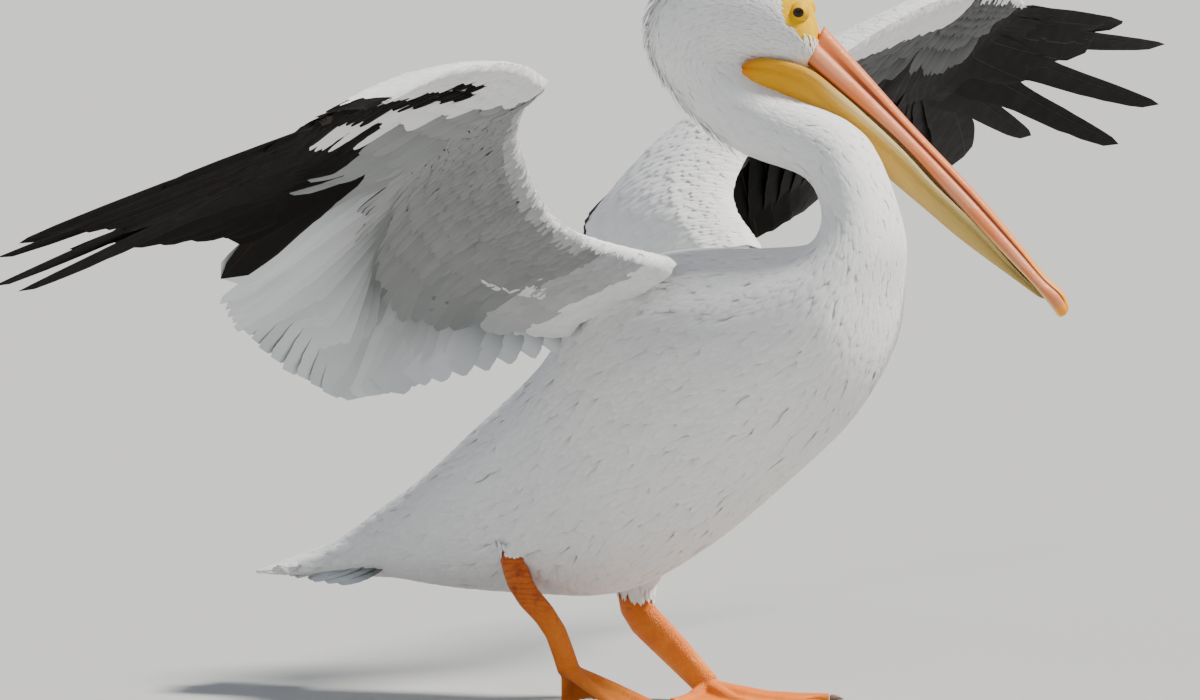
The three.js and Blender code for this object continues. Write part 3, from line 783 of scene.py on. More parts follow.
class WingPart:
    """The arm or the hand of one wing. t runs out along it and c back across it: c is 0 at
    the leading edge, 1 where the flesh ends and 2 at the tips of the flight feathers."""

    def __init__(self, wing, name):
        """self.reach(t) is the way from where the flesh ends to the feathers' tips."""
        self.side = wing["side"]
        self.closes = name == "hand"
        rows = wing[name]
        self.lead = curve(placed(rows["lead"]))
        self.rear = curve(placed(rows["coverts"]))
        self.thickness = curve(np.array(THICKNESS[name], float)[:, None] * MM)
        tips = curve(placed(rows["tips"]))
        if rows["fingers"]:
            count = settings("plumage").primaries
            closed = (count - FREE_PRIMARIES) / count
            middles = (np.arange(count) + 0.5) / count
            ends = np.where((middles < closed)[:, None], tips(middles / closed), 0)
            ends[middles > closed] = placed(rows["fingers"])
            reach = ends - self.rear(middles)
            self.reach = lambda t: np.stack([np.interp(t, middles, reach[:, k])
                                             for k in range(3)], -1)
        else:
            self.reach = lambda t: tips(t) - self.rear(t)

    def normal(self, t):
        """Outward direction of the wing's upper side."""
        chord = self.rear(t) - self.lead(t)
        before, after = np.clip(t - 0.02, 0, 1), np.clip(t + 0.02, 0, 1)
        span = self.lead(after) + self.rear(after) - self.lead(before) - self.rear(before)
        return unit(-self.side * np.cross(chord, span))

    def at(self, t, c, face=0.0, lift=0.0):
        """A place on the wing. face is 1 on its upper side, -1 under it, 0 in the middle."""
        t, c = np.broadcast_arrays(np.asarray(t, float), np.asarray(c, float))
        lead, rear = self.lead(t), self.rear(t)
        chord = rear - lead
        face = np.where(c < 0, -face, face)
        c = np.abs(c)
        inner, outer = np.clip(c, 0, 1), np.maximum(c - 1, 0)
        wide = np.linalg.norm(chord, axis=-1)
        half = self.thickness(np.clip(t, 0, 1))[..., 0] / 2
        half = half * (1 - self.closes * smooth_share(t, HAND_CLOSES, 1))
        depth = np.interp(inner, CHORD_STEPS, CHORD_PROFILE) * half
        depth = depth + inner * FEATHER_SHEET / 4 * MM
        round_edge = smooth_share(inner, 0, EDGE_ROUND)
        rise = np.sin(np.pi * inner) * CAMBER * wide + face * (depth + lift * round_edge)
        ahead = inner - lift * (1 - round_edge) / wide
        return (lead + chord * ahead[..., None] + self.reach(t) * outer[..., None]
                + self.normal(t) * rise[..., None])

    def core(self, rings):
        """Rings round the flesh, thinner and shorter than the solid by the coverts."""
        half = CORE_POINTS // 2
        c = np.concatenate([np.linspace(CORE_START, CORE_END, half),
                            np.linspace(CORE_END, CORE_START, half)])
        face = np.repeat([CORE_SHRINK, -CORE_SHRINK], half)
        return [self.at(np.full(CORE_POINTS, t), c, face) for t in np.linspace(0, 1, rings)]

    def row(self, rng, coats, kinds, count, c, size, width, face, height, sweep=0.0):
        """One row of coverts, with roots at c, laid back over the wing. coats has a Plumage
        for each kind of feather, and kinds(t, c) names the kind at a place."""
        t = (np.arange(count) + 0.5 + rng.normal(0, 0.12, count)) / count
        t = np.clip(t, *ROOTS_T)
        c = np.clip(c + rng.normal(0, 0.010, count), *ROOTS_C)
        step = 0.01
        root = self.at(t, c)
        per_t = np.linalg.norm(self.at(t + step, c) - root, axis=-1) / step
        behind = np.abs(c)
        per_c = np.linalg.norm(self.at(t, behind + step) - self.at(t, behind), axis=-1) / step
        s, a, top = COVERT_VANE[0].T
        size = size * (1 + rng.normal(0, 0.06, count))
        ragged = 1 + rng.normal(0, 0.035, (count, len(s)))
        half = width / 2 * vane_outline(s, 0.6, 0.45) * ragged
        turn = rng.normal(0, 0.05, count)[:, None]
        out = (half * a + (turn + sweep) * size[:, None] * s) / per_t[:, None]
        back = (size[:, None] * s - turn * half * a) / per_c[:, None]
        lift = COVERT_RISE * (top > 0) * (1 - a * a) - COVERT_SUNK + height * s
        lift = lift + rng.normal(0, 0.0004, count)[:, None] * s
        points = self.at(t[:, None] + out, c[:, None] + back, face, lift)
        roots = np.stack([0.01 + 0.49 * t + (0.5 if face < 0 else 0), (c + 0.1) / 2.3], -1)
        tones = rng.random(count)
        seen = kinds(t, c + SEEN_PART * size / per_c)
        for kind in np.unique(seen):
            own = seen == kind
            coat = coats.setdefault(str(kind), Plumage(COVERT_VANE))
            coat.add(points[own], np.clip(roots[own], BAKE_EDGE, 1 - BAKE_EDGE), tones[own])

    def flight(self, rng, coat, order, count, width, root, length=1.0, fan=0.0, raised=0.0,
               band=(0, 1), **shape):
        """One flight feather. order is its number from the body out, of count, and root its
        root's c. fan is how much further out the root lies than the tip, in t, raised lifts
        it off the rest, and band is the part of the bake map that its row has."""
        t = (order + 0.5) / count
        s = coat.places[:, 0]
        steps = np.linspace(0, 1, 40)
        line = self.at(t + fan * (1 - steps), root + (2 - root) * length * steps)
        line = line + self.normal(np.array([t])) * raised
        axis = np.stack([np.interp(s, steps, line[:, k]) for k in range(3)], -1)
        reach = 1.0 if self.closes else 1.6
        outward = self.at(min(t + 0.04, 1), reach) - self.at(max(t - 0.04, 0), reach)
        upper = self.normal(np.array([t]))[0]
        if not self.closes:
            upper = unit(-self.side * np.cross(line[-1] - line[20], outward))
        quill_vane(rng, coat, axis, upper, outward, width, flight_spot(t, *band), **shape)


def flight_spot(share, low=0, high=1):
    """Middle of a flight feather's patch on the bake map, at a share of its row."""
    return low + (high - low) * (0.04 + 0.92 * share), 0.5


FLIGHT_TIP = 0.42                        # how bluntly a flight feather ends
NOTCH = (0.42, 0.62)                     # where a free primary grows narrow, along it
QUILL = 0.0009                           # height of the shaft at its root, in metres
VANE_THICK = 0.00035


def quill_vane(rng, coat, axis, normal, outward, width, spot, narrow=0.0, outer=0.4, bow=0.0,
               tilt=0.09, widest=0.3, camber=0.10):
    """Draws one stiff feather. axis has a place for each place of the vane, outward is the
    way to its outer edge, and outer is that edge's share of the width."""
    s, a, top = coat.places.T
    heading = unit(axis[-1] - axis[0])
    across = outward - (outward @ heading) * heading
    across = unit(across - (across @ normal) * normal)
    outline = vane_outline(s, widest, FLIGHT_TIP) * (1 - narrow * smooth_share(s, *NOTCH))
    outline = np.maximum(outline, 0.08 * (s < 0.95) * (s > 0))
    share = np.where(a > 0, outer, 1 - outer) * 2
    ragged = 1 + rng.normal(0, 0.02, len(s)) * (np.abs(a) > 0.9)
    half = width / 2 * outline * share * ragged
    quill = QUILL * (np.abs(a) < 0.05) * (1 - 0.7 * s)
    thick = (VANE_THICK + quill) * (np.abs(a) < 0.99)
    rise = tilt * a * half - camber * half * np.abs(a) ** 1.5 + top * thick
    bent = bow * np.linalg.norm(axis[-1] - axis[0]) * np.sin(np.pi * s)
    points = axis + across * (half * a + bent)[:, None] + normal * rise[:, None]
    coat.add(points[None], np.array([spot]), rng.random(1))


# ---- skin --------------------------------------------------------------------------------
FLESH = ("trunk", "tail", "neck_lower", "neck_upper", "head", "leg_right_thigh",
         "leg_left_thigh")
SKIN_VOXEL = 0.005
BARE_FADES = (1.02, 1.12)                # shares of the eye patch over which its yellow fades
# Spine number, depth of the coat there, and a feather's length, width, spacing and height
# in millimetres, where a feather of the trunk's middle is 30 mm long
LIE = np.array([
    [-2, 4.0, 40, 12.0, 6.2, 2.2],
    [-1, 9.0, 44, 12.0, 6.2, 2.6],
    [0, 4.2, 40, 10.0, 5.4, 3.2],
    [4, 3.8, 33, 8.4, 4.9, 3.0],
    [7, 3.2, 26, 7.4, 4.3, 1.5],
    [9, 2.6, 22, 5.6, 3.6, 0.9],
    [10, 2.4, 20, 4.8, 3.1, 0.8],
    [13, 2.4, 17, 4.2, 2.8, 0.9],
    [14, 2.2, 13, 3.6, 2.4, 1.0],
    [16, 1.8, 9.5, 2.9, 2.0, 0.8],
    [19, 1.5, 7, 2.4, 1.8, 0.7],
])


def lie_at(numbers, column):
    return np.interp(numbers, LIE[:, 0], LIE[:, column]) * MM


CORE_RINGS = (("arm", 17), ("hand", 9))
WING_ROOT = (0.105, 0.14)                # Y between which the skin passes to the wings' cores


def draw_in(bm):
    """Moves the skin inside the solids by the coat's depth. Wing cores are drawn that deep."""
    bm.normal_update()
    places = np.array([v.co for v in bm.verts])
    outward = np.array([v.normal for v in bm.verts])
    number, _, _ = Spine().station(places)
    depth = lie_at(number, 1) * (1 - smooth_share(np.abs(places[:, 1]), *WING_ROOT))
    for vert, place in zip(bm.verts, places - outward * depth[:, None]):
        vert.co = place


def make_skin():
    """One skin over the trunk, neck, head, thighs and the wings' cores."""
    bm = welded(*FLESH)
    for wing in WINGS.values():
        for part, rings in CORE_RINGS:
            loft(bm, WingPart(wing, part).core(rings))
    fine = remeshed(bm, SKIN_VOXEL, 6)
    draw_in(fine)
    relax(fine, 3)
    wings = [f"wing_{side}_{part}" for side, _ in SIDES for part in ("arm", "hand")]
    mesh = to_mesh("skin", fine)
    places = np.array([v.co for v in mesh.vertices])
    bare = 1 - smooth_share(patch_share(places), *BARE_FADES)
    mesh.attributes.new("bare", "FLOAT", "POINT").data.foreach_set("value", bare)
    flesh = [node for node in FLESH if node != "tail"]
    as_piece("skin", mesh, skin_finish(settings("plumage")), "white_plumage", *flesh, *wings)


def skin_surface():
    """The surface of the finished skin."""
    bm = bmesh.new()
    bm.from_mesh(bpy.data.objects["skin"].data)
    bm.normal_update()
    surface = Surface(bm)
    bm.free()
    return surface


# ---- plumage of the body -----------------------------------------------------------------
# The eye patch's edge from the eye: angle from the bill's way upwards, and radius in mm
PATCH_EDGE = np.array([
    [-180, 14.5], [-150, 14.8], [-125, 15.8], [-110, 17], [-97, 21], [-83, 27.5], [-72, 34],
    [-63, 40], [-57, 41.5], [-51, 38], [-36, 29], [-12, 24], [12, 23], [35, 23], [56, 24],
    [80, 24], [105, 22.5], [130, 21], [150, 18.5], [180, 14.5],
])


def to_head(points):
    """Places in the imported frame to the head's own millimetres, before its turn."""
    return turned((np.asarray(points) - SHIFT) / MM, -1.0)


def patch_share(points):
    """0 at the eye and 1 at the edge of the bare patch round it."""
    own = to_head(points)
    x, z = own[:, 0] - EYE_IN_HEAD[0], own[:, 2] - EYE_IN_HEAD[2]
    edge = np.interp(np.degrees(np.arctan2(z, x)), PATCH_EDGE[:, 0], PATCH_EDGE[:, 1])
    return np.hypot(x, z) / edge


def solid_tree(*nodes):
    bm = welded(*nodes)
    tree = BVHTree.FromBMesh(bm)
    bm.free()
    return tree


PROBE = Vector((0.31, 0.17, 0.94)).normalized()
FEATHERS_FROM = 0.88                     # share of the eye patch from which feathers grow
OFF_THE_BILL = 0.0006                    # gap between a root and the bill, in metres
# Name, spine numbers where it starts and ends, and vane of each part of the body's coat
COAT_PARTS = (("trunk", -1.2, 8.6, BODY_VANE), ("neck", 8.6, 13.3, SMALL_VANE),
              ("head", 13.3, 20, SMALL_VANE))
LIE_TRUNK = 30 * MM                      # the trunk feather that the table of sizes is for


def clear_of(points, tree, gap):
    """True for each point that stands clear of a closed solid by a gap."""
    free = []
    for point in points:
        hit, normal, _, _ = tree.ray_cast(Vector(point), PROBE)
        outside = hit is None or normal.dot(PROBE) < 0
        free.append(outside and tree.find_nearest(Vector(point))[3] > gap)
    return np.array(free)


def body_roots(surface, rng, low, high):
    """Feather roots on the body between two spine numbers, off the wings and bare skin."""
    def wanted(points):
        number, _, _ = surface.spine.station(points)
        inside = (number >= low) & (number < high) & (np.abs(points[:, 1]) < 0.15)
        return inside & (patch_share(points) > FEATHERS_FROM)

    def spacing(points):
        return lie_at(surface.spine.station(points)[0], 4)

    roots = surface.scatter(rng, wanted, spacing)
    if high > 10:
        bill = solid_tree("bill_lower", "bill_upper")
        roots = roots[clear_of(roots, bill, OFF_THE_BILL)]
    return roots


def coat_piece(name, coat, finish, slot="white_plumage", nodes=()):
    return as_piece(name, coat.mesh(name), finish, slot, *nodes)


def make_body_coat():
    """Contour feathers on the trunk, in two halves, and on the neck and head."""
    plumage = settings("plumage")
    surface = skin_surface()
    # The shade grey paints shade towards each white feather's foot.
    finish = white_vane_finish("white_vane", plumage.white, plumage.shade, 0.18)
    scale = plumage.trunk_vane / LIE_TRUNK
    for name, low, high, template in COAT_PARTS:
        rng = np.random.default_rng(plumage.seed + len(name))
        roots = body_roots(surface, rng, low, high)
        halves = {"": roots} if name != "trunk" else {
            "_right": roots[roots[:, 1] < SHIFT[1]], "_left": roots[roots[:, 1] >= SHIFT[1]]}
        for half, own in halves.items():
            coat = Plumage(template)
            number = surface.spine.station(own)[0]
            size, width, height = (lie_at(number, k) * scale for k in (2, 3, 5))
            size = size * (1 + rng.normal(0, 0.12, len(own)))
            surface.vanes(rng, coat, own, size, width, height)
            coat_piece(f"coat_{name}{half}", coat, finish)


CREST_FROM, CREST_TO = 11.6, 15.6        # spine numbers
CREST_ANGLE = 2.15                       # how far round from the throat the plumes start
CREST_GAP = 0.0042                       # between roots, in metres
CREST_WIDTH, CREST_RISE = 0.13, 0.26     # of a plume, as shares of its length


def make_crest():
    """Loose narrow plumes that stand off the nape and the back of the neck."""
    plumage = settings("plumage")
    surface = skin_surface()
    rng = np.random.default_rng(plumage.seed + 50)

    def wanted(points):
        number, angle, _ = surface.spine.station(points)
        on_nape = (number > CREST_FROM) & (number < CREST_TO)
        return on_nape & (np.abs(angle) > CREST_ANGLE)

    roots = surface.scatter(rng, wanted, lambda points: np.full(len(points), CREST_GAP))
    number, angle, _ = surface.spine.station(roots)
    middle = smooth_share(np.abs(angle), 2.1, 2.9)
    size = plumage.crest_vane * (0.5 + 0.5 * middle) * (1 + rng.normal(0, 0.2, len(roots)))
    coat = Plumage(SMALL_VANE)
    surface.vanes(rng, coat, roots, size, size * CREST_WIDTH, size * CREST_RISE * middle,
                  curl=0.0008, swing=0.24)
    coat_piece("crest", coat, bpy.data.materials["white_vane"])


# ---- plumage of the wings ----------------------------------------------------------------
# c of the roots, feathers in the row, length, width and height of the tip in millimetres
ARM_ROWS = (
    (-0.070, 84, 17, 10, 1.2), (-0.030, 84, 18, 10, 1.6), (0.005, 80, 19, 10, 1.9),
    (0.035, 76, 20, 10.5, 2.2), (0.075, 74, 21, 11, 2.4),
    (0.120, 70, 22, 11, 2.6), (0.170, 66, 24, 12, 2.8), (0.225, 62, 26, 13, 2.8),
    (0.285, 58, 28, 14, 2.8), (0.350, 54, 31, 15, 2.8), (0.420, 50, 34, 16, 2.8),
    (0.500, 44, 40, 19, 2.8), (0.590, 38, 52, 22, 2.6), (0.700, 32, 84, 27, 2.2),
)
HAND_ROWS = (
    (-0.08, 40, 17, 10, 1.2), (-0.03, 40, 18, 10, 1.6), (0.02, 38, 18, 10, 1.9),
    (0.08, 36, 20, 10, 2.2), (0.15, 34, 22, 11, 2.4),
    (0.24, 28, 25, 12, 2.6), (0.34, 24, 29, 14, 2.6), (0.45, 20, 36, 18, 2.6),
    (0.58, 16, 52, 26, 2.4), (0.72, 14, 78, 32, 2.0),
)
HIND_ROW = ((0.93, 16, 92, 30, 2.0),)    # over the roots of the primaries
HAND_SWEEP = 0.12                        # how far the hand's coverts lean outward


def make_coverts():
    """Rows of small feathers over both faces of each wing, from its front edge back."""
    plumage = settings("plumage")
    finishes = {
        "white": bpy.data.materials["white_vane"],
        # Painted shade: the greys of the wings' undersides; the far hand's is partly its own dusky
        # grey.
        "pale": white_vane_finish("pale_vane", plumage.pale, plumage.lining, 0.4),
        "under": white_vane_finish("under_vane", plumage.lining, plumage.under, 0.3),
        "slate": white_vane_finish("slate_vane", plumage.slate, plumage.black, 0.2, 0.9,
                                   0.0001),
        "black": bpy.data.materials["black_vane"],
    }
    for side, wing in WINGS.items():
        rng = np.random.default_rng(plumage.seed + 100 + wing["side"])
        arm, hand = WingPart(wing, "arm"), WingPart(wing, "hand")
        for face, title in ((1, "upper"), (-1, "under")):
            coats = {}
            lining = face < 0 and wing["lining"] == "under"
            flat = 0.35 if lining else 0.65
            hand_rows = HAND_ROWS + HIND_ROW if lining else HAND_ROWS
            for part, rows, marking, sweep in ((arm, ARM_ROWS, arm_marking, 0.0),
                                               (hand, hand_rows, hand_marking, HAND_SWEEP)):
                kinds = partial(marking, wing["lining"], face)
                for c, count, size, width, height in rows:
                    part.row(rng, coats, kinds, count, c, size * MM, width * MM, face,
                             height * flat * MM, sweep)
            for kind, rows in coats.items():
                slot = "black_plumage" if kind == "black" else "white_plumage"
                coat_piece(f"coverts_{side}_{title}_{kind}", rows, finishes[kind], slot)


# Across the near hand's underside, at each t: where the black streak starts and ends, and
# where the white patch behind it ends
STREAK = np.array([
    [0.00, 0.22, 0.22, 0.22], [0.10, 0.37, 0.37, 0.37], [0.20, 0.52, 0.52, 0.52],
    [0.30, 0.34, 0.34, 0.70], [0.40, 0.18, 0.46, 0.78], [0.50, 0.24, 0.56, 0.84],
    [0.60, 0.38, 0.66, 0.87], [0.70, 0.42, 0.78, 0.89], [0.80, 0.44, 0.92, 0.92],
    [0.90, 0.40, 1.00, 1.00], [1.00, -0.20, 1.10, 1.10],
])
# t past which the coverts behind that are black, at these two c
BLACK_FROM, BLACK_AT = (0.42, 0.09), (0.9, 1.6)
HAND_TIP = 0.92                          # t past which the hand's upper side is all black


# Where the far wing's lining changes: the c in front of which it is white, and the t and c
# past which other kinds start
FAR_ARM_WHITE, FAR_ARM_SHADED_SLATE_T, FAR_ARM_BLACK = 0.36, 0.6, (0.5, 1.05)
FAR_HAND_WHITE, FAR_HAND_BLACK = 0.10, (0.78, 1.02)
# The near arm's lining is white, and then pale, up to each t from the body and c from the front
# Pale, and the darker grey behind it, are painted shade on the near wing's white lining.
NEAR_ARM_WHITE, NEAR_ARM_PALE = (0.06, 0.05), (0.15, 0.13)
UPPER_HAND_WHITE = 0.55                  # c up to which the hand's upper side is white


def arm_marking(lining, face, t, c):
    """The kind of covert at each place of an arm."""
    if face > 0:
        return np.full(t.shape, "white")
    # The far wing's grey coverts behind its white front are painted shade.
    if lining == "slate":
        front = np.where(c < FAR_ARM_WHITE, "white",
                         np.where(t > FAR_ARM_SHADED_SLATE_T, "slate", "under"))
        return np.where((c > FAR_ARM_BLACK[1]) & (t > FAR_ARM_BLACK[0]), "black", front)
    # Behind the white front, pale and under are painted shade on the near wing's lining.
    white = (c < NEAR_ARM_WHITE[1]) | (t < NEAR_ARM_WHITE[0])
    pale = (c < NEAR_ARM_PALE[1]) | (t < NEAR_ARM_PALE[0])
    return np.where(white, "white", np.where(pale, "pale", "under"))


def hand_marking(lining, face, t, c):
    """The kind of covert at each place of a hand."""
    if face > 0:
        return np.where((c < UPPER_HAND_WHITE) & (t < HAND_TIP), "white", "black")
    if lining == "slate":
        # The far hand's grey coverts are painted shade, partly their own dusky grey.
        black = (c > FAR_HAND_BLACK[1]) | (t > FAR_HAND_BLACK[0])
        return np.where(c < FAR_HAND_WHITE, "white", np.where(black, "black", "slate"))
    starts, ends, patch = (np.interp(t, STREAK[:, 0], STREAK[:, k]) for k in (1, 2, 3))
    # The grey behind the near hand's white patch is painted shade.
    behind = np.where(t < np.interp(c, BLACK_AT, BLACK_FROM), "under", "black")
    return np.where((c > starts) & (c < ends), "black", np.where(c < patch, "white", behind))


# Widths of the secondaries in metres, at these shares of the arm from the body out
SECONDARY_WIDTHS = ((0.0, 0.25, 0.5), (0.034, 0.040, 0.058))
FLAT_VANE = {"widest": 0.9, "tilt": 0.03, "camber": 0.015}
WRIST_WIDTH, WRIST_FAN, WRIST_RAISED = 0.058, 0.15, 1.5 * MM
# Width in metres, how much narrower it is past the notch, and its widest place along
CLOSED_VANE, FREE_VANE = (0.050, 0.0, 0.75), (0.046, 0.38, 0.3)


def make_flight_feathers():
    """Secondaries on each arm and primaries on each hand, one vane each."""
    plumage = settings("plumage")
    dark = dark_vane_finish(plumage)
    # Painted shade: white secondaries and tail feathers greyer than the body's white, darker towards
    # their foot.
    pale = white_vane_finish("pale_flight_vane", plumage.quill, plumage.under, 0.25, 1.1)
    closed = plumage.primaries - FREE_PRIMARIES
    for side, wing in WINGS.items():
        rng = np.random.default_rng(plumage.seed + 200 + wing["side"])
        arm, hand = WingPart(wing, "arm"), WingPart(wing, "hand")
        black, white = Plumage(FLIGHT_VANE, FLIGHT_PATCH), Plumage(FLIGHT_VANE, FLIGHT_PATCH)
        count = plumage.secondaries
        for order in range(count):
            coat = black if (order + 0.5) / count > wing["black_from"] else white
            width = np.interp(order / count, *SECONDARY_WIDTHS)
            arm.flight(rng, coat, order, count, width, root=0.6,
                       length=1 + rng.normal(0, 0.014), outer=0.45, **FLAT_VANE)
        for order in WRIST_FEATHERS:
            hand.flight(rng, black if wing["black_from"] < 1 else white, order,
                        plumage.primaries, WRIST_WIDTH, root=0.6, fan=WRIST_FAN,
                        raised=WRIST_RAISED, **FLAT_VANE)
        for order in range(plumage.primaries):
            width, narrow, widest = FREE_VANE if order >= closed else CLOSED_VANE
            hand.flight(rng, black, order, plumage.primaries, width, root=0.45,
                        fan=FAN * max(1 - order / closed, 0), band=(0.5, 1), outer=0.32,
                        narrow=narrow, bow=-0.012, widest=widest)
        coat_piece(f"flight_{side}_black", black, dark, "black_plumage",
                   [f"wing_{side}_primaries"])
        coat_piece(f"flight_{side}_white", white, pale, "white_plumage",
                   [f"wing_{side}_secondaries"])


TAIL_FEATHERS = 24
TAIL_ROOT = (-258, 30, 153)              # X, half spread in Y, Z
TAIL_TIP = (-397, 55, 110)
TAIL_ROUND = 108                         # how much shorter the outermost feathers are
TAIL_DROOP = 34                          # how much lower their roots are
TAIL_SAG = 5                             # how much lower their tips are
TAIL_HUMP = 2                            # how much the middle feathers arch
TAIL_WIDTH = 0.030                       # of a feather, in metres


def make_tail():
    """A fan of feathers that hides the tail's flesh."""
    plumage = settings("plumage")
    rng = np.random.default_rng(plumage.seed + 300)
    coat = Plumage(FLIGHT_VANE, FLIGHT_PATCH)
    s = coat.places[:, 0]
    for order in range(TAIL_FEATHERS):
        aside = (order + 0.5) / TAIL_FEATHERS * 2 - 1
        root = np.array([TAIL_ROOT[0], TAIL_ROOT[1] * aside, TAIL_ROOT[2]])
        tip = np.array([TAIL_TIP[0] + TAIL_ROUND * aside ** 2, TAIL_TIP[1] * aside,
                        TAIL_TIP[2]])
        root[2] -= TAIL_DROOP * aside ** 2
        tip[0] += rng.normal(0, 3.0)
        tip[2] -= TAIL_SAG * abs(aside)
        hump = TAIL_HUMP * (1 - aside ** 2) * np.sin(np.pi * s)
        axis = placed(root + (tip - root) * s[:, None] + [0, 0, 1] * hump[:, None])
        upper = unit(np.array([-0.3, 0.8 * aside, 1.0]))
        quill_vane(rng, coat, axis, upper, np.array([0, np.sign(aside), 0]), TAIL_WIDTH,
                   flight_spot((aside + 1) / 2), widest=0.6, tilt=-0.02, camber=0.03)
    coat_piece("tail_feathers", coat, bpy.data.materials["pale_flight_vane"], "white_plumage",
               ["tail"])


# ---- face --------------------------------------------------------------------------------
LID_RADIUS = 0.0084                      # of the ball that the lids lie on
LIDS_FLARE = 0.0020                      # how much wider their foot is
LIDS_END = math.radians(150)             # the foot's angle from the eye's outward line
LID_BULGE, LID_WIDTH = 0.6, 0.13         # height of the lids' edge in mm, its reach in radians
FOLD_HEIGHT = 0.13                       # of the folds round the lids, in millimetres
SQUASH = 0.12                            # how much lower than wide the opening is
LID_TURNS, LID_RINGS = 96, 22
LID_WALL = 0.0006
LID_HEM = 0.002                          # how far the lids' edge turns in, in metres
EYE_RADIUS = 8 * MM
EYE_SUNK = 3.5 * MM                      # how much deeper the eye lies than the solid's
EYE_BULGE = 0.03                         # how much further out the pupil's middle is
PUPIL_EDGE, IRIS_EDGE = (2.6, 3.0), (4.6, 5.2)      # arcs from the pupil's middle, in mm
LID_TINT = (0.55, 0.22, 0.02)


def orbit_finish():
    """Yellow skin of the lids, with an orange-brown edge."""
    made = Finish("eye_patch", Specular_IOR_Level=0.2)
    fine = made.noise(900, 3)
    color = made.blend(made.attribute("rim"), bare_yellow(made), LID_TINT)
    pores = made.cells(700)
    return made.wear(color, 0.42 + fine * 0.2, fine * 0.4 + pores * 0.6, 0.0003)


def eye_finish():
    """Dark wet eye: a pupil, an iris and a black edge."""
    eye = Finish("eye", Coat_Weight=1.0, Coat_Roughness=0.02, Coat_IOR=1.3,
                 Specular_IOR_Level=0.1, Roughness=0.3)
    away = eye.attribute("from_pupil")
    color = eye.blend(away.step(*PUPIL_EDGE), (0.002, 0.002, 0.002), settings("skin").iris)
    color = eye.blend(away.step(*IRIS_EDGE) * 0.7, color, (0.01, 0.006, 0.004))
    return eye.wear(color, eye.noise(900, 3) * 0.1 + 0.3)


def sunk_eye(side, sign):
    """The eye's middle, a little deeper than the solid's, and the way it looks."""
    outward = unit(in_head(0, sign, 0) - in_head(0, 0, 0))
    return EYES[side] - outward * EYE_SUNK, outward


def lid_rings(middle, outward):
    """Rings from the eye opening to inside the head, and how near each is to the lids' edge."""
    way = np.radians(np.linspace(-180, 180, LID_TURNS, endpoint=False))
    ahead = unit(in_head(1, 0, 0) - in_head(0, 0, 0))
    up = np.array([0, 0, 1.0])
    first = math.asin(settings("skin").eye_opening / LID_RADIUS)
    loops, nearness = [], []
    for share in (ring / (LID_RINGS - 1) for ring in range(LID_RINGS)):
        tilt = first + (LIDS_END - first) * share
        lid = math.exp(-((tilt - first - LID_WIDTH) / LID_WIDTH) ** 2) * LID_BULGE
        folds = FOLD_HEIGHT * np.sin(tilt * 15 + 1.3 * np.sin(way * 3))
        folds = folds * smooth_share(tilt, 0.9, 1.3)
        reach = LID_RADIUS + LIDS_FLARE * smooth_share(tilt, 0.8, 2.2) + (lid + folds) * MM
        low = 1 - SQUASH * (1 - smooth_share(share, 0.05, 0.4))
        aside = np.cos(way)[:, None] * ahead + (np.sin(way) * low)[:, None] * up
        loops.append(middle + reach[:, None] * (math.cos(tilt) * outward
                                                + math.sin(tilt) * aside))
        nearness.append(float(smooth_share(first + 0.11 - tilt, 0, 0.10)))
    return loops, nearness


def make_eye_patch(side, sign, finish):
    """Bare lids in a low mound over one eye."""
    middle, outward = sunk_eye(side, sign)
    loops, nearness = lid_rings(middle, outward)
    bm = bmesh.new()
    rim = bm.verts.layers.float.new("rim")
    rows = loft(bm, loops, cap=False)
    for row, value in zip(rows, nearness):
        for vert in row:
            vert[rim] = value
    bmesh.ops.recalc_face_normals(bm, faces=bm.faces)
    inner = rows[0]
    back = bmesh.ops.extrude_edge_only(
        bm, edges=[bm.edges.get(pair) for pair in zip(inner, inner[1:] + inner[:1])])
    for vert in back["geom"]:
        if isinstance(vert, bmesh.types.BMVert):
            vert.co = vert.co - Vector(outward) * LID_HEM
    mesh = bpy.data.meshes.new(f"eye_patch_{side}")
    bm.to_mesh(mesh)
    bm.free()
    mesh.shade_smooth()
    piece = as_piece(f"eye_patch_{side}", mesh, finish, "pouch_skin")
    wall = piece.modifiers.new("Wall", "SOLIDIFY")
    wall.thickness = LID_WALL
    wall.offset = -1


def make_eye(side, sign, finish):
    """A dark wet eye with a wide pupil and a slightly bulging front."""
    bm = bmesh.new()
    away = bm.verts.layers.float.new("from_pupil")
    bmesh.ops.create_icosphere(bm, subdivisions=5, radius=EYE_RADIUS)
    middle, outward = (Vector(place) for place in sunk_eye(side, sign))
    for vert in bm.verts:
        share = vert.co.normalized().dot(outward)
        vert[away] = math.acos(max(-1, min(1, share))) * EYE_RADIUS / MM
        vert.co *= 1 + EYE_BULGE * max(share - 0.8, 0) / 0.2
        vert.co += middle
    as_piece(f"eyeball_{side}", to_mesh(f"eyeball_{side}", bm), finish, "eye_gloss",
             f"eye_{side}")


def make_face():
    lids, eye = orbit_finish(), eye_finish()
    for side, sign in SIDES:
        make_eye(side, sign, eye)
        make_eye_patch(side, sign, lids)


# ---- bill and pouch ----------------------------------------------------------------------
# Top X and Z, bottom X and Z and half width at each station, in the head's millimetres
UPPER_BILL = (
    (166, 634, 153, 600, 21), (201, 596, 181, 577, 19), (249, 543, 236, 530, 16),
    (307, 483, 293, 470, 14), (346, 438, 334, 427, 13.5), (372, 406, 363, 397, 13.5),
    (388, 391, 376, 381, 12), (394, 376, 386, 367, 6),
)
LOWER_BILL = (
    (91, 600, 87, 588, 30), (112, 605, 101, 575, 33), (151, 597, 131, 560, 31),
    (181, 575, 163, 532, 27), (235, 527, 208, 508, 21), (270, 490, 252, 473, 17),
    (309, 453, 293, 439, 14), (347, 411, 340, 405, 11), (372, 388, 369, 384, 7),
)
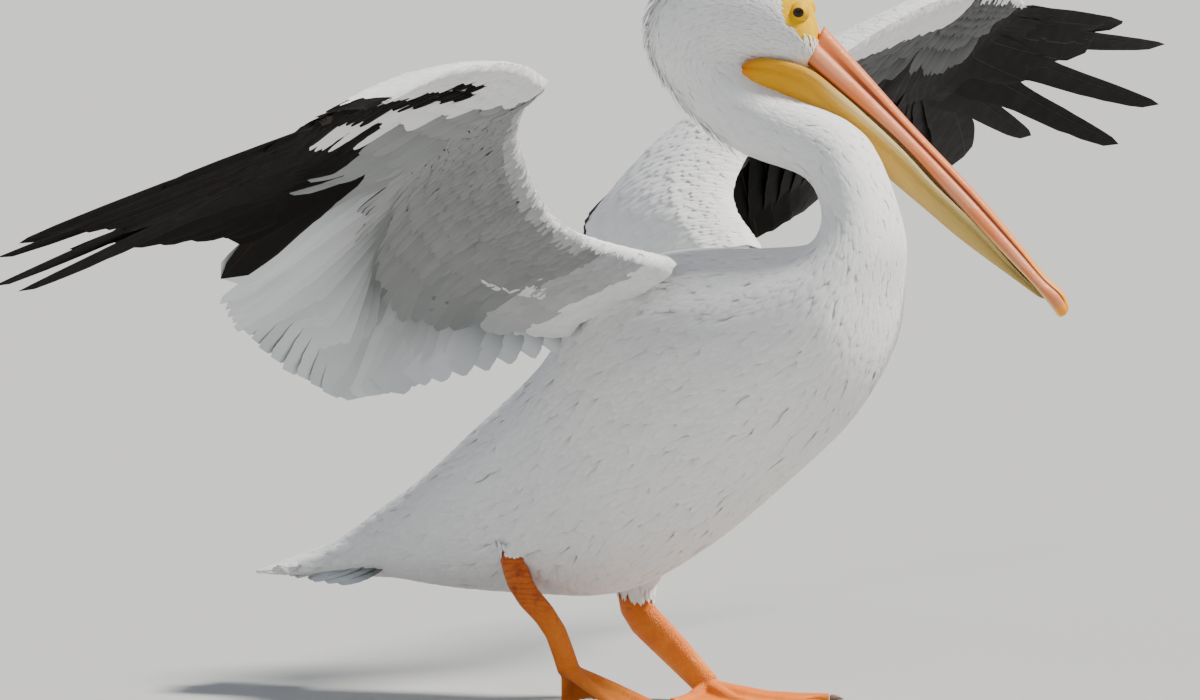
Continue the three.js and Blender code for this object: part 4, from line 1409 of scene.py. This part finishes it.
# Half sections: across 0 to 1 and height -1 to 1, from the top's middle to the bottom's
UPPER_SECTION = (
    (0, 1.0), (0.20, 0.97), (0.38, 0.84), (0.47, 0.62), (0.53, 0.40), (0.62, 0.42),
    (0.80, 0.28), (0.95, -0.10), (1.0, -0.50), (0.93, -0.85), (0.78, -1.0), (0.4, -0.92),
    (0, -0.88),
)
GROOVE_LEVEL = 0.40                      # height of the groove in the section above
# Places along the bill, and the groove's own height at each
GROOVE = ((0.03, 0.5, 0.95), (0.12, 0.28, 0.62))
GAPE_LOBE = 0.05                         # share of the pouch that rounds its rear end
SECTION_STEPS = 33                       # places down a half section
TIP_FROM, TIP_ROUND, LEAST_END = 0.965, 0.036, 0.02
UPPER_RINGS, POUCH_RINGS = 84, 96
LOWER_SECTION = (
    (0, 0.86), (0.6, 0.90), (0.80, 1.06), (0.93, 1.10), (1.0, 0.94), (0.99, 0.66),
    (0.90, 0.50), (0.88, 0.30), (0.84, -0.1), (0.70, -0.5), (0.45, -0.82), (0.2, -0.97),
    (0, -1.0),
)


def mandible(stations, section, rings, groove=None, lobe=0.0):
    """Rings of a bill part, and how far each place is down its section, 0 to 1. groove has
    the groove's height in the section along the bill, and lobe is the rounded end's share."""
    rows = curve(np.array(stations, float))(np.linspace(0, 1, rings))
    half = curve(np.array(section))(np.linspace(0, 1, SECTION_STEPS))
    whole = np.concatenate([half, half[-2:0:-1] * [-1, 1]])
    level = np.concatenate([np.linspace(0, 1, SECTION_STEPS),
                            np.linspace(1, 0, SECTION_STEPS)[1:-1]])
    made = []
    for index, (top_x, top_z, low_x, low_z, width) in enumerate(rows):
        share = index / (rings - 1)
        past = max((share - TIP_FROM) / TIP_ROUND, 0)
        if share < lobe:
            past = 1 - share / lobe
        blunt = math.sqrt(max(1 - past ** 2, LEAST_END))
        height = whole[:, 1]
        if groove is not None:
            line = np.interp(share, *groove)
            height = np.where(height > GROOVE_LEVEL,
                              line + (height - GROOVE_LEVEL) * (1 - line) / (1 - GROOVE_LEVEL),
                              (height + 1) * (line + 1) / (GROOVE_LEVEL + 1) - 1)
        top, low = np.array([top_x, 0, top_z]), np.array([low_x, 0, low_z])
        up = (top - low) / 2 * blunt
        middle = (top + low) / 2
        points = middle + height[:, None] * up + whole[:, :1] * [0, width * blunt, 0]
        made.append(placed(turned(points)))
    return made, level


def bill_piece(name, rings, level, finish, slot, node):
    """A bill part whose places know how far down their section and along the bill they are."""
    bm = bmesh.new()
    down, along = (bm.verts.layers.float.new(title) for title in ("down", "along"))
    loops = loft(bm, rings)
    for index, loop in enumerate(loops):
        for vert, value in zip(loop, level):
            vert[down] = value
            vert[along] = index / (len(loops) - 1)
    as_piece(name, to_mesh(name, bm), finish, slot, node)


def bill_horn_finish(colors):
    """Salmon ridge, dusky flank, red groove, pale edge and orange nail."""
    horn = Finish("bill_horn", Specular_IOR_Level=0.35)
    down, along = horn.attribute("down"), horn.attribute("along")
    streak = horn.noise(30, 4)
    fine = horn.noise(260, 3)
    ridge = horn.blend(along.step(0.35, 0.85), colors.ridge, colors.tip)
    flank = horn.blend(streak.step(0.35, 0.7), colors.flank, colors.ridge)
    color = horn.blend(down.step(0.30, 0.40), ridge, flank)
    line = (2.2 - abs(down - 0.305) * 26).least(1.0).most(0.0) * along.step(0.0, 0.2)
    color = horn.blend(line, color, colors.groove)
    color = horn.blend(along.step(0.88, 0.96), color, colors.tip)
    edge = down.step(0.68, 0.76)
    # Painted shade of the mouth's opening along the bill's lower edge near its base.
    color = horn.blend(edge * (1 - along.step(0.25, 0.5)) * 0.85, color, colors.lip)
    color = horn.blend(edge * along.step(0.35, 0.6) * 0.8, color, colors.rim)
    return horn.wear(color, 0.36 + fine * 0.2, fine * 0.5 + streak, 0.0008)


def pouch_finish(colors):
    """Ochre skin with faint folds that run along it, orange at the mouth's corner."""
    hide = Finish("pouch_skin", Specular_IOR_Level=0.25)
    down, along = hide.attribute("down"), hide.attribute("along")
    folds = hide.noise(10, 3)
    fine = hide.noise(420, 3)
    stripe = ((down * 46 + folds * 7 + along * 5) * 2 * math.pi).sine()
    color = hide.blend(along.step(0.15, 0.75), colors.pouch, colors.pouch_tip)
    color = hide.blend((stripe * 0.5 + 0.5) * 0.12, color, colors.fold)
    color = hide.blend(1 - along.step(0.0, 0.16), color, colors.gape)
    rim = (1 - down.step(0.36, 0.42)) * along.step(0.3, 0.45)
    color = hide.blend(rim * 0.85, color, colors.rim)
    return hide.wear(color, 0.40 + fine * 0.2, stripe * 0.35 + fine * 0.4, 0.0006)


def make_bill():
    colors = settings("bill")
    rings, level = mandible(UPPER_BILL, UPPER_SECTION, UPPER_RINGS, groove=GROOVE)
    bill_piece("upper_bill", rings, level, bill_horn_finish(colors), "bill_horn", "bill_upper")
    rings, level = mandible(LOWER_BILL, LOWER_SECTION, POUCH_RINGS, lobe=GAPE_LOBE)
    bill_piece("pouch", rings, level, pouch_finish(colors), "pouch_skin", "bill_lower")


# ---- legs --------------------------------------------------------------------------------
LEG_VOXEL = 0.0016
ANKLE_FOLDS = (0.060, 0.120)             # heights over which folds and red come in, in metres
TUFT_HALF = 2.6                          # half width of a feather over the ankle, in mm
# Middle and half axes of each ankle's knob in millimetres, and the tuft over it: its upward
# line, and how far it rises, how far its feathers hang and how many they are
ANKLES = {
    "right": ((-102, -75, 145), (12.5, 11, 12), (-0.35, 0, 1), (13, 10, 90)),
    "left": ((-54, 75, 101), (16.5, 12, 12), (0, 0, 1), (17, 21, 130)),
}


def add_knob(bm, side):
    """Rounds the top of a leg with a ball that the remesh joins to it."""
    middle, axes, _, _ = ANKLES[side]
    ball = bmesh.ops.create_icosphere(bm, subdivisions=3, radius=1.0)["verts"]
    for vert in ball:
        vert.co = Vector(placed(np.array(vert.co) * axes + middle))


def make_tufts():
    """Short feathers that hang over the top of each ankle."""
    plumage = settings("plumage")
    rng = np.random.default_rng(plumage.seed + 400)
    coat = Plumage(SMALL_VANE)
    s, a, top = coat.places.T
    for side, _ in SIDES:
        middle, axes, up, (rise, hang, count) = ANKLES[side]
        up = unit(np.array(up, float))
        turn = rng.uniform(0, 2 * math.pi, count)
        level = rng.uniform(0.15, 1.0, count)
        ring = np.stack([np.cos(turn) * axes[0], np.sin(turn) * axes[1], 0 * turn], -1)
        spread = 1.0 + 0.5 * level
        roots = np.array(middle) + ring * spread[:, None] * 0.8
        roots = roots + up * (rise * level + 2)[:, None]
        ends = roots - up * (hang * rng.uniform(0.7, 1.1, count))[:, None]
        ends = ends + (np.array(middle) + ring * 1.12 - ends) * [1, 1, 0] * 0.75
        axis = roots[:, None] + (ends - roots)[:, None] * s[None, :, None]
        out = unit(ring)
        aside = np.cross(out, up)
        half = TUFT_HALF * vane_outline(s) * a
        lift = 0.5 * (top > 0) * (1 - np.abs(a)) + 1.2 * np.sin(np.pi * s)
        points = axis + aside[:, None] * half[:, None] + out[:, None] * lift[:, None]
        maps = np.stack([0.1 + 0.8 * turn / (2 * math.pi), 0.5 + 0.4 * level], -1)
        coat.add(placed(points), maps, rng.random(count))
    coat_piece("ankle_tufts", coat, bpy.data.materials["white_vane"])


def leg_skin_finish(skin):
    """Orange scaled hide, redder and folded at the ankle, with painted shade where its scales meet
    and in its folds.
    """
    hide = Finish("leg_skin", Specular_IOR_Level=0.4)
    scales = hide.cells(520, feature="DISTANCE_TO_EDGE")
    fine = hide.noise(700, 3)
    broad = hide.noise(28, 3)
    mottle = hide.noise(90, 3)
    height = hide.height()
    ankle = height.step(*ANKLE_FOLDS)
    folds = ((height * 190 + broad * 3) * 2 * math.pi).sine() * ankle
    # Painted shade where the scales meet, in their creases.
    color = hide.blend(scales.step(0.0, 0.2) * 0.18 + 0.82, skin.crease, skin.leg)
    color = hide.blend(broad.step(0.5, 0.75) * 0.5, color, skin.leg_pale)
    red = (ankle * 0.45 + mottle.step(0.45, 0.75) * (ankle * 0.5 + 0.12)).least(1.0)
    color = hide.blend(red, color, skin.crease)
    # Painted shade in the ankle's folds.
    color = hide.blend(folds.step(0.4, 1.0) * 0.5, color, skin.crease)
    return hide.wear(color, 0.42 + fine * 0.2,
                     scales.step(0.0, 0.25) + fine * 0.2 - folds, 0.0004)


def claw_finish(skin):
    horn = Finish("claw_horn", Specular_IOR_Level=0.5)
    grain = horn.noise(500, 3, horn.place((1, 1, 0.3)))
    color = horn.blend(grain, skin.claw, skin.claw_pale)
    return horn.wear(color, 0.32 + grain * 0.2, grain, 0.0004)


def make_foot_and_shank(side, finish):
    nodes = (f"leg_{side}_tarsus", f"foot_{side}")
    whole = welded(*nodes)
    add_knob(whole, side)
    leg = remeshed(whole, LEG_VOXEL, 3)
    for vert in leg.verts:
        vert.co.z = max(vert.co.z, 0.0)
    name = f"foot_and_shank_{side}"
    as_piece(name, to_mesh(name, leg), finish, "leg_skin", *nodes)


def make_claw(node, finish):
    claw = as_piece(f"{node}_horn", to_mesh(node, welded(node)), finish, "claw_horn", node)
    rounding = claw.modifiers.new("Smooth", "SUBSURF")
    rounding.levels = rounding.render_levels = 2


def make_legs():
    make_tufts()
    skin = settings("skin")
    hide, horn = leg_skin_finish(skin), claw_finish(skin)
    for side, _ in SIDES:
        make_foot_and_shank(side, hide)
        for toe in range(1, 5):
            make_claw(f"claw_{side}_{toe}", horn)


# ---- stage -------------------------------------------------------------------------------
FRAME_MIDDLE = (-56.8, 8.8, 327.6)       # what the camera looks at, in the bird's millimetres
CAMERA_AWAY = 40.0
SENSOR_WIDTH = 36.0
FLOOR_RADIUS = 220.0
# Name, way it comes from (right, up and towards the camera), angle in degrees and colour
LIGHTS = (
    ("key", (0.62, 0.78, 0.04), 14, (1.0, 0.97, 0.92)),
    ("fill", (-0.75, 0.25, 0.60), 60, (0.85, 0.92, 1.0)),
    ("catch", (-0.05, 0.50, 0.86), 5, (1.0, 1.0, 1.0)),
)


def camera_axes(azimuth, elevation):
    """Right, up and towards the camera."""
    back = Vector((math.sin(azimuth) * math.cos(elevation),
                   -math.cos(azimuth) * math.cos(elevation), math.sin(elevation)))
    right = Vector((math.cos(azimuth), math.sin(azimuth), 0))
    return right, back.cross(right), back


def add_sun(name, axes, way, strength, angle, color):
    light = bpy.data.lights.new(name, "SUN")
    light.energy = strength
    light.angle = math.radians(angle)
    light.color = color
    sun = bpy.data.objects.new(name, light)
    toward = sum((axis * share for axis, share in zip(axes, way)), Vector())
    sun.rotation_euler = toward.to_track_quat("Z", "Y").to_euler()
    bpy.context.scene.collection.objects.link(sun)


def add_camera(stage, axes):
    lens = bpy.data.cameras.new("camera")
    lens.sensor_width = SENSOR_WIDTH
    lens.lens = SENSOR_WIDTH * CAMERA_AWAY / stage.frame_width
    lens.clip_end = 4 * CAMERA_AWAY
    camera = bpy.data.objects.new("camera", lens)
    camera.location = Vector(placed(FRAME_MIDDLE)) + axes[2] * CAMERA_AWAY
    camera.rotation_euler = axes[2].to_track_quat("Z", "Y").to_euler()
    bpy.context.scene.collection.objects.link(camera)
    bpy.context.scene.camera = camera


def add_room_light(stage):
    world = bpy.data.worlds.new("room")
    world.use_nodes = True
    room = world.node_tree.nodes["Background"]
    room.inputs["Color"].default_value = (*stage.sky, 1)
    room.inputs["Strength"].default_value = stage.room_strength
    bpy.context.scene.world = world


def add_floor(stage):
    bm = bmesh.new()
    bmesh.ops.create_circle(bm, segments=64, radius=FLOOR_RADIUS, cap_ends=True)
    mesh = to_mesh("floor", bm, smooth=False)
    floor = bpy.data.objects.new("floor", mesh)
    bpy.context.scene.collection.objects.link(floor)
    ground = Finish("floor_paint", Specular_IOR_Level=0.2)
    mottle = ground.noise(3, 3)
    color = ground.blend(mottle * 0.12, stage.floor, stage.floor_mottle)
    mesh.materials.append(ground.wear(color, mottle * 0.1 + 0.8))


def make_stage():
    stage = settings("stage")
    axes = camera_axes(stage.azimuth, stage.elevation)
    add_camera(stage, axes)
    for name, way, angle, color in LIGHTS:
        add_sun(name, axes, way, getattr(stage, f"{name}_strength"), angle, color)
    add_room_light(stage)
    add_floor(stage)


# ---- operators, panel and the run --------------------------------------------------------
class PELICAN_OT_skin(bpy.types.Operator):
    """Build one skin under the whole plumage"""
    bl_idname = "pelican.skin"
    bl_label = "Skin"

    def execute(self, context):
        make_skin()
        return {"FINISHED"}


class PELICAN_OT_body_coat(bpy.types.Operator):
    """Lay the contour feathers of the trunk, neck and head, and the nape's plumes"""
    bl_idname = "pelican.body_coat"
    bl_label = "Body feathers"

    def execute(self, context):
        make_body_coat()
        make_crest()
        return {"FINISHED"}


class PELICAN_OT_flight_feathers(bpy.types.Operator):
    """Set the flight feathers of the wings and the feathers of the tail"""
    bl_idname = "pelican.flight_feathers"
    bl_label = "Flight feathers"

    def execute(self, context):
        make_flight_feathers()
        make_tail()
        return {"FINISHED"}


class PELICAN_OT_coverts(bpy.types.Operator):
    """Lay the rows of coverts over and under the wings"""
    bl_idname = "pelican.coverts"
    bl_label = "Coverts"

    def execute(self, context):
        make_coverts()
        return {"FINISHED"}


class PELICAN_OT_face(bpy.types.Operator):
    """Make the eyes and the bare skin round them"""
    bl_idname = "pelican.face"
    bl_label = "Face"

    def execute(self, context):
        make_face()
        return {"FINISHED"}


class PELICAN_OT_bill(bpy.types.Operator):
    """Make the upper bill and the pouch"""
    bl_idname = "pelican.bill"
    bl_label = "Bill"

    def execute(self, context):
        make_bill()
        return {"FINISHED"}


class PELICAN_OT_legs(bpy.types.Operator):
    """Make the shanks, webbed feet and claws"""
    bl_idname = "pelican.legs"
    bl_label = "Legs"

    def execute(self, context):
        make_legs()
        return {"FINISHED"}


class PELICAN_OT_stage(bpy.types.Operator):
    """Set up the floor, the lights and the camera"""
    bl_idname = "pelican.stage"
    bl_label = "Stage"

    def execute(self, context):
        make_stage()
        return {"FINISHED"}


STEPS = (PELICAN_OT_skin, PELICAN_OT_body_coat, PELICAN_OT_flight_feathers,
         PELICAN_OT_coverts, PELICAN_OT_face, PELICAN_OT_bill, PELICAN_OT_legs,
         PELICAN_OT_stage)
GROUPS = {"plumage": PlumageSettings, "bill": BillSettings, "skin": SkinSettings,
          "stage": StageSettings}


class PELICAN_PT_panel(bpy.types.Panel):
    """The steps that build the bird, and the sizes and colours they use"""
    bl_label = "Pelican"
    bl_space_type = "VIEW_3D"
    bl_region_type = "UI"
    bl_category = "Pelican"

    def draw(self, context):
        for step in STEPS:
            self.layout.operator(step.bl_idname)
        for name, group in GROUPS.items():
            box = self.layout.box()
            for title in group.__annotations__:
                box.prop(settings(name), title)


def register():
    for group in (*GROUPS.values(), *STEPS, PELICAN_PT_panel):
        bpy.utils.register_class(group)
    for name, group in GROUPS.items():
        setattr(bpy.types.Scene, f"pelican_{name}", PointerProperty(type=group))


def unregister():
    for name in GROUPS:
        delattr(bpy.types.Scene, f"pelican_{name}")
    for group in (PELICAN_PT_panel, *reversed(STEPS), *GROUPS.values()):
        bpy.utils.unregister_class(group)


def main():
    register()
    for step in STEPS:
        family, name = step.bl_idname.split(".")
        getattr(getattr(bpy.ops, family), name)()


if __name__ == "__main__":
    main()
